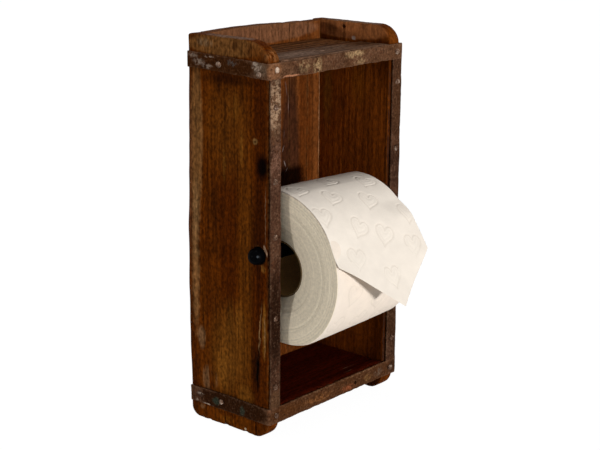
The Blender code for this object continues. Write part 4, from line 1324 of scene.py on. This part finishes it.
def nail_profile(length, ringed):
    """Half of a nail's outline: (radius, height) in millimetres from its tip to its crown."""
    points = [(0, -length), (1.1, -length + 1.5), (1.1, -NAIL_RIM_SINK), (2.2, -NAIL_RIM_SINK)]
    if ringed:
        points += [(2.25, 0.1), (2.0, 0.42), (1.55, 0.48), (1.15, 0.30), (0.8, 0.02), (0, -0.05)]
    else:
        points += [(2.2, 0.12), (1.95, 0.45), (1.5, 0.68), (0.95, 0.82), (0.45, 0.88), (0, 0.9)]
    return points


def nail(node, inward):
    low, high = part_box(node)
    inward = Vector(inward)
    half = abs((high - low).dot(inward)) / 2
    head = (low + high) / 2 - inward * half
    rng = Random(node)
    profile = nail_profile(2 * half / MM - HEAD_RISE, node in RINGED)
    bm = bmesh.new()
    points = [(radius * MM, 0, height * MM) for radius, height in profile]
    spin_round(bm, points, (0, 0, 0), (0, 0, 1), NAIL_STEPS)
    shift = Vector((rng.uniform(0, 50), rng.uniform(0, 50), rng.uniform(0, 50)))
    for vert in bm.verts:
        if vert.co.z > -NAIL_RIM_SINK * MM - 1e-6:
            vert.co *= 1 + KNOCK * (noise.noise(vert.co * KNOCKS_PER_M + shift) - KNOCK_IN)
    turn = Vector((0, 0, 1)).rotation_difference(-inward).to_matrix()
    bmesh.ops.rotate(bm, verts=bm.verts, cent=(0, 0, 0), matrix=turn)
    bmesh.ops.translate(bm, vec=head + inward * (HEAD_RISE * MM), verts=bm.verts)
    swell(bm)
    piece(f"iron_{node}", bm, "holder", [node], nail_iron, 45)


def nail_direction(node):
    """The way a nail was driven, read from the long side of its box."""
    low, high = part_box(node)
    size = high - low
    if size.x > size.y:
        return (1, 0, 0) if low.x < 0 else (-1, 0, 0)
    return (0, -1, 0) if node.startswith("nail_back") else (0, 1, 0)


for node_name in sorted(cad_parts):
    if node_name.startswith("nail_"):
        nail(node_name, nail_direction(node_name))

# %% [markdown]
# The rod is turned too: a plain round bar with a ball end. The profile runs from the ball to the
# blunt end, and is spun about the rod's own axis after it has been laid along X.

# %% Rod
ROD_STEPS, BALL_STEPS = 48, 12
BLUNT_END = 0.8 * MM
LAST_RING = 1 * MM
ROD_CELL = 4 * MM
ROD_UNEVEN, ROD_UNEVEN_RATE = 0.08 * MM, 900


def turned_along_x(profile, axis_at, steps, closed=False):
    """Spin a profile of (x, radius) metres about a line along X."""
    bm = bmesh.new()
    points = [(x, axis_at.y, axis_at.z + radius) for x, radius in profile]
    spin_round(bm, points, (0, axis_at.y, axis_at.z), (1, 0, 0), steps, closed, 1e-7)
    return bm


def make_rod():
    low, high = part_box("roll_rod")
    radius = (high.z - low.z) / 2
    profile = [(low.x, 0)]
    for step in range(1, BALL_STEPS + 1):
        angle = step / BALL_STEPS * math.pi / 2
        profile.append((low.x + radius * (1 - math.cos(angle)), radius * math.sin(angle)))
    for x in stations(low.x + radius, high.x - LAST_RING, ROD_CELL):
        thinner = ROD_UNEVEN * (0.5 + 0.5 * math.sin(x * ROD_UNEVEN_RATE))
        profile.append((x, radius - thinner))
    profile += [(high.x - BLUNT_END, radius), (high.x, radius - BLUNT_END), (high.x, 0)]
    bm = turned_along_x(profile, ROD_AT, ROD_STEPS)
    piece("rod", bm, "rod", ["roll_rod"], rod_black)


make_rod()

# %% [markdown]
# The roll: hundreds of layers of tissue wound on a card core. Its outline is spun like the
# CAD's, but with many more points on the ends, where single layers stand out by a fraction of a
# millimetre. Handling has squashed it: towards the back its radius is smaller, and it is a
# little thinner at the right end. The loose end must keep clear of it as it turns, so the roll
# is nowhere larger than the CAD roll.

# %% Roll sizes
ROLL_LOW, ROLL_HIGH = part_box("paper_roll")
ROLL_RADIUS = (ROLL_HIGH.z - ROLL_LOW.z) / 2
ROLL_LEFT = -58.0 * MM
ROLL_RIGHT = 36.0 * MM
ROLL_MIDDLE = (ROLL_LEFT + ROLL_RIGHT) / 2
END_SLANT = 5 * MM
CORE_RADIUS = 21.5 * MM
TAPER, TAPER_CURVE = 2.6 * MM, 1.3
SQUASH = 5.4 * MM
SQUASH_FROM_DEG, SQUASH_GROWS_DEG = 138, 46
SQUASH_TO_DEG, SQUASH_ENDS_DEG = 357, 32


def taper(x):
    """How much thinner the roll is at this place along it."""
    share = (x - ROLL_LEFT) / (ROLL_RIGHT - ROLL_LEFT)
    return TAPER * max(0.0, share) ** TAPER_CURVE


def squash(ahead_deg):
    """How much the roll is pressed in at this turn ahead of its top."""
    turn = ahead_deg % 360
    if turn > 180:
        return SQUASH * ease((SQUASH_TO_DEG - turn) / SQUASH_ENDS_DEG)
    return SQUASH * ease((turn - SQUASH_FROM_DEG) / SQUASH_GROWS_DEG)


print("roll radius", round(ROLL_RADIUS, 4), "axis", [round(value, 4) for value in ROLL_AXIS])

# %% [markdown]
# Small hearts are pressed into the tissue, a common pattern on such paper. One heart outline is
# drawn from a formula, and a point's distance to it, counted below zero inside, gives its
# height: a groove on the outline, a second groove inside, and a soft puff in the middle.

# %% Heart embossing
HEART_POINTS = 36
HEART_WIDTH = 16.5
HEART_TALL = 1.15
HEART_REACH = 13
GROOVE_WIDE, INNER_GROOVE_WIDE, INNER_GROOVE_AT, INNER_GROOVE_SHARE = 0.55, 0.6, 2.5, 0.35
GROOVE_DEPTH, PUFF_HEIGHT, RIM_HEIGHT = 0.36, 0.14, 0.06


def heart_outline(width):
    """Points round a heart whose tip points towards plus v."""
    points = []
    for number in range(HEART_POINTS):
        turn = math.tau * number / HEART_POINTS
        across = 16 * math.sin(turn) ** 3
        along = 13 * math.cos(turn) - 5 * math.cos(2 * turn)
        along -= 2 * math.cos(3 * turn) + math.cos(4 * turn)
        points.append(Vector((across, -along * HEART_TALL)) * (width / 32))
    return points


def signed_distance(point, outline):
    """Distance to a closed outline in the plane, negative inside it."""
    nearest, inside = 100.0, False
    for start, end in zip(outline, outline[1:] + outline[:1]):
        nearest = min(nearest, line_distance(point, start, end))
        if (start.y > point.y) != (end.y > point.y):
            crossing = start.x + (point.y - start.y) / (end.y - start.y) * (end.x - start.x)
            if point.x < crossing:
                inside = not inside
    return -nearest if inside else nearest


def bell(distance, width):
    """1 at 0, falling to nothing on both sides."""
    return math.exp(-(distance / width) ** 2)


def heart_groove(distance):
    """How far into the two pressed lines a distance in millimetres lies, from 0 to 1."""
    inner = INNER_GROOVE_SHARE * bell(distance + INNER_GROOVE_AT, INNER_GROOVE_WIDE)
    return bell(distance, GROOVE_WIDE) + inner


def heart_height(distance):
    """Height of the pressed paper at a distance from the heart's outline, both in mm."""
    puff = ease((-distance - 0.8) / 3.6)
    rim = bell(distance + 1.2, 0.6)
    return -GROOVE_DEPTH * heart_groove(distance) + PUFF_HEIGHT * puff + RIM_HEIGHT * rim


def heart_relief(across, around, hearts):
    """Height in metres and share of groove on the paper, from whichever heart is near."""
    for centre_across, centre_around, turn_deg in hearts:
        away = Vector((across / MM - centre_across, around / MM - centre_around))
        if away.length < HEART_REACH:
            away.rotate(Matrix.Rotation(math.radians(turn_deg), 2))
            distance = signed_distance(away, HEART)
            return heart_height(distance) * MM, heart_groove(distance)
    return 0.0, 0.0


HEART = heart_outline(HEART_WIDTH)
print("a heart has", len(HEART), "points and is", HEART_WIDTH, "mm wide")

# %% Roll
ROLL_STEPS = 400
LAYER_STEP = 0.8 * MM
LAYER_PROUD = 0.045
END_EDGE = 1.6 * MM
PARTED_RADIUS, PARTED_HALF, PARTED_SINK = 31.5, 1.2, 0.35
SKIN_CELL = 0.9 * MM
SKIN_DIP, SKIN_DIPS_PER_M = 0.12 * MM, 60
RIM_DEPTH = 0.6 * MM
PUFF_KEPT = 0.4
LEFT_RIM = [(0, 0.9), (0.5, 0.25), (1.4, 0)]  # in from the end, and below the skin
RIGHT_RIM = [(1.6, 0), (0.5, 0.4), (0, 1.1)]
HEARTS_APART, HEART_TRIES = 25, 400
ROLL_HEARTS = [(-27, 105, -20), (6, 118, 10), (30, 108, -10), (-8, 134, 25), (22, 142, 5)]


def scattered_hearts(low, high, seed):
    """More hearts for the part of the roll that is seldom seen, none too near another."""
    rng = Random(seed)
    hearts = list(ROLL_HEARTS)
    for _ in range(HEART_TRIES):
        spot = (rng.uniform(-40, 40), rng.uniform(low, high), rng.uniform(-30, 30))
        if all(math.hypot(spot[0] - x, spot[1] - y) > HEARTS_APART for x, y, _ in hearts):
            hearts.append(spot)
    return hearts


def end_profile(end_x, side, rng):
    """The cut end from the outside in: (x, radius) points with single layers standing out."""
    points = []
    span = ROLL_RADIUS - END_EDGE - CORE_RADIUS
    count = round(span / LAYER_STEP)
    for number in range(count + 1):
        share = number / count
        radius = ROLL_RADIUS - END_EDGE - span * share
        proud = rng.gauss(0, LAYER_PROUD)
        if abs(radius / MM - PARTED_RADIUS) < PARTED_HALF:
            proud -= PARTED_SINK
        points.append((end_x + END_SLANT * share ** 3 - side * proud * MM, radius))
    return points


def roll_profile():
    """The roll's outline: its left end, its skin with rounded rims, and its right end."""
    rng = Random(17)
    left = end_profile(ROLL_LEFT, 1, rng)
    right = end_profile(ROLL_RIGHT, -1, rng)
    skin = [(ROLL_LEFT + inset * MM, ROLL_RADIUS - below * MM) for inset, below in LEFT_RIM]
    start, end = skin[-1][0], ROLL_RIGHT - RIGHT_RIM[0][0] * MM
    skin += [(x, ROLL_RADIUS) for x in stations(start, end, SKIN_CELL)]
    skin += [(ROLL_RIGHT - inset * MM, ROLL_RADIUS - below * MM) for inset, below in RIGHT_RIM]
    return left[::-1] + skin + right


def make_roll():
    bm = turned_along_x(roll_profile(), ROLL_AXIS, ROLL_STEPS, closed=True)
    cut = bm.verts.layers.float.new("cut")
    pressed = bm.verts.layers.float.new("pressed")
    hearts = scattered_hearts(90, 360, 5)
    for vert in bm.verts:
        arm = vert.co - ROLL_AXIS
        arm.x = 0
        radius = arm.length
        ahead = math.atan2(-arm.y, arm.z)
        on_end = radius < ROLL_RADIUS - RIM_DEPTH
        vert[cut] = 1.0 if on_end else 0.0
        share = max(0.0, (radius - CORE_RADIUS) / (ROLL_RADIUS - CORE_RADIUS))
        drop = (taper(vert.co.x) + squash(math.degrees(ahead))) * share
        if not on_end:
            around = (ahead % math.tau) * ROLL_RADIUS
            relief, vert[pressed] = heart_relief(vert.co.x - ROLL_MIDDLE, around, hearts)
            drop -= min(0.0, relief) + PUFF_KEPT * max(0.0, relief) - SKIN_DIP
        drop += SKIN_DIP * (1 + noise.noise(vert.co * SKIN_DIPS_PER_M)) * share
        vert.co -= arm.normalized() * drop
    piece("roll", bm, "roll", ["paper_roll"], roll_paper, 50)


make_roll()

# %% [markdown]
# The card core is a thin tube. Its wall is a closed ring that is spun in one go, so it has an
# inside and an outside, and its ends follow the ends of the roll.

# %% Core
CORE_WALL = 1.0 * MM
CORE_GAP = 0.05 * MM
CORE_CELL = 4 * MM
CORE_STEPS = 72


def make_core():
    low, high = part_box("cardboard_core")
    outer = (high.z - low.z) / 2
    rungs = [low.x, *stations(low.x, high.x, CORE_CELL), high.x]
    profile = [(x, outer - CORE_GAP) for x in rungs]
    profile += [(x, outer - CORE_WALL) for x in reversed(rungs)]
    bm = turned_along_x(profile, ROLL_AXIS, CORE_STEPS, closed=True)
    piece("core", bm, "roll", ["cardboard_core"], core_card)


make_core()

# %% [markdown]
# The loose end of the paper is one flat sheet first: as wide as the roll, 126 mm long, cut into
# small cells. Its two lower corners are folded under along straight creases that meet in the
# point. Only then is it laid over the roll: each flat point goes round the roll as far as the
# sheet touches it, and straight on from there. The embossed hearts lift each point a little, and
# Solidify gives the paper its thickness.

# %% Sizes and creases of the loose end
SHEET_START_DEG = -4.0
SHEET_LEAVE_DEG = 57.3
SHEET_FREE = 62 * MM
SHEET_HALF = 47 * MM
LEFT_CREASE = 21 * MM
RIGHT_CREASE = 27.5 * MM
SHEET_CELL = 0.57 * MM
SHEET_GAP = 0.35 * MM
PAPER_THICKNESS = 0.25 * MM
CREASE_WIDTH = 0.5 * MM
FOLD_GAP, FOLD_OVER = 0.42 * MM, 0.9 * MM
HEARTLESS_EDGE = 5 * MM
SHEET_RADIUS = ROLL_RADIUS + SHEET_GAP
LEAVE = math.radians(SHEET_LEAVE_DEG) * SHEET_RADIUS
START = math.radians(SHEET_START_DEG) * SHEET_RADIUS
SHEET_HEARTS = [
    (-15.8, 27.6, -42), (15.5, 38.2, -36), (-39.6, 41.5, -16), (-11.2, 57.4, -44),
    (10.3, 67.7, -30), (33.5, 81, -15), (0.8, 97.9, -5), (2, 6.8, -50), (33.1, 18.4, -50),
    (-35.5, 11.1, -40), (43.5, 57, -25), (-27.4, 78, -20),
]


def crease(side, down):
    """Where a crease starts on the sheet's edge, and the direction beyond it."""
    start = Vector((side * SHEET_HALF, LEAVE + down))
    fold = (Vector((0, LEAVE + SHEET_FREE)) - start).normalized()
    beyond = Vector((-fold.y, fold.x)) * side
    return start, (beyond if beyond.y > 0 else -beyond)


CREASES = [crease(-1, LEFT_CREASE), crease(1, RIGHT_CREASE)]
print("creases start at", [[round(value, 4) for value in start] for start, _ in CREASES])

# %% Loose end of the paper
BULGE, DENT, RIPPLE = 3.9 * MM, 2.5 * MM, 0.35 * MM
DENT_PAST, DENT_TALL = 16 * MM, 12 * MM


def grown(value, start, span):
    """0 up to a place in millimetres and 1 a span past it; a negative span turns this round."""
    return ease((value - start * MM) / (span * MM))


def stand_off(across, along):
    """How far the sheet stands off its plain path over the roll and down."""
    bulge = BULGE * grown(along, 42, 20) * grown(along, 118, -30) * grown(across, -8, 52)
    bulge -= DENT * bell(along - LEAVE - DENT_PAST, DENT_TALL) * grown(across, -24, -22)
    ripple = RIPPLE * noise.noise(Vector((across * 30, along * 34, 3.0)))
    return bulge + ripple * grown(along, 20, 40) - taper(ROLL_MIDDLE + across)


def wrap(across, along, lift):
    """Put a flat point of the sheet in its place round the roll and down in front of it."""
    turn = min(along, LEAVE) / SHEET_RADIUS
    place = Vector((ROLL_MIDDLE + across, ROLL_AXIS.y, ROLL_AXIS.z))
    place += Vector((0, -math.sin(turn), math.cos(turn))) * (SHEET_RADIUS + lift)
    if along > LEAVE:
        place += Vector((0, -math.cos(turn), -math.sin(turn))) * (along - LEAVE)
    return place


def flat_sheet(length):
    """The flat sheet in small cells, cut along its creases."""
    bm = bmesh.new()
    bmesh.ops.create_grid(bm, x_segments=1, y_segments=1, size=0.5)
    bmesh.ops.scale(bm, vec=(2 * SHEET_HALF, length, 1), verts=bm.verts)
    bmesh.ops.translate(bm, vec=(0, START + length / 2, 0), verts=bm.verts)
    slice_across(bm, X, stations(-SHEET_HALF, SHEET_HALF, SHEET_CELL))
    slice_across(bm, Y, stations(START, START + length, SHEET_CELL))
    for start, beyond in CREASES:
        for offset in (0.0, CREASE_WIDTH):
            cut_plane(bm, (start + beyond * offset).to_3d(), beyond.to_3d())
    return bm


def make_sheet():
    length = LEAVE + SHEET_FREE - START
    bm = flat_sheet(length)
    pressed = bm.verts.layers.float.new("pressed")
    for vert in bm.verts:
        across, along, _ = vert.co
        past = [(vert.co.xy - start).dot(beyond) for start, beyond in CREASES]
        relief, groove = heart_relief(across, along, SHEET_HEARTS)
        clear = ease((SHEET_HALF - abs(across)) / HEARTLESS_EDGE)
        for far in past:
            clear *= ease(-far / HEARTLESS_EDGE)
        vert[pressed] = groove * clear
        lift = stand_off(across, along) + relief * clear
        for far, (_, beyond) in zip(past, CREASES):
            if far > 0:
                across -= 2 * far * beyond.x
                along -= 2 * far * beyond.y
                lift = stand_off(across, along) - FOLD_GAP * ease(far / FOLD_OVER)
        vert.co = wrap(across, along, lift)
    bm.normal_update()
    sheet = piece(
        "paper_end_sheet", bm, "paper_end", ["loose_sheet"], sheet_paper, 60,
    )
    thick = sheet.modifiers.new("paper_thickness", "SOLIDIFY")
    thick.thickness = PAPER_THICKNESS
    thick.offset = 1.0


make_sheet()
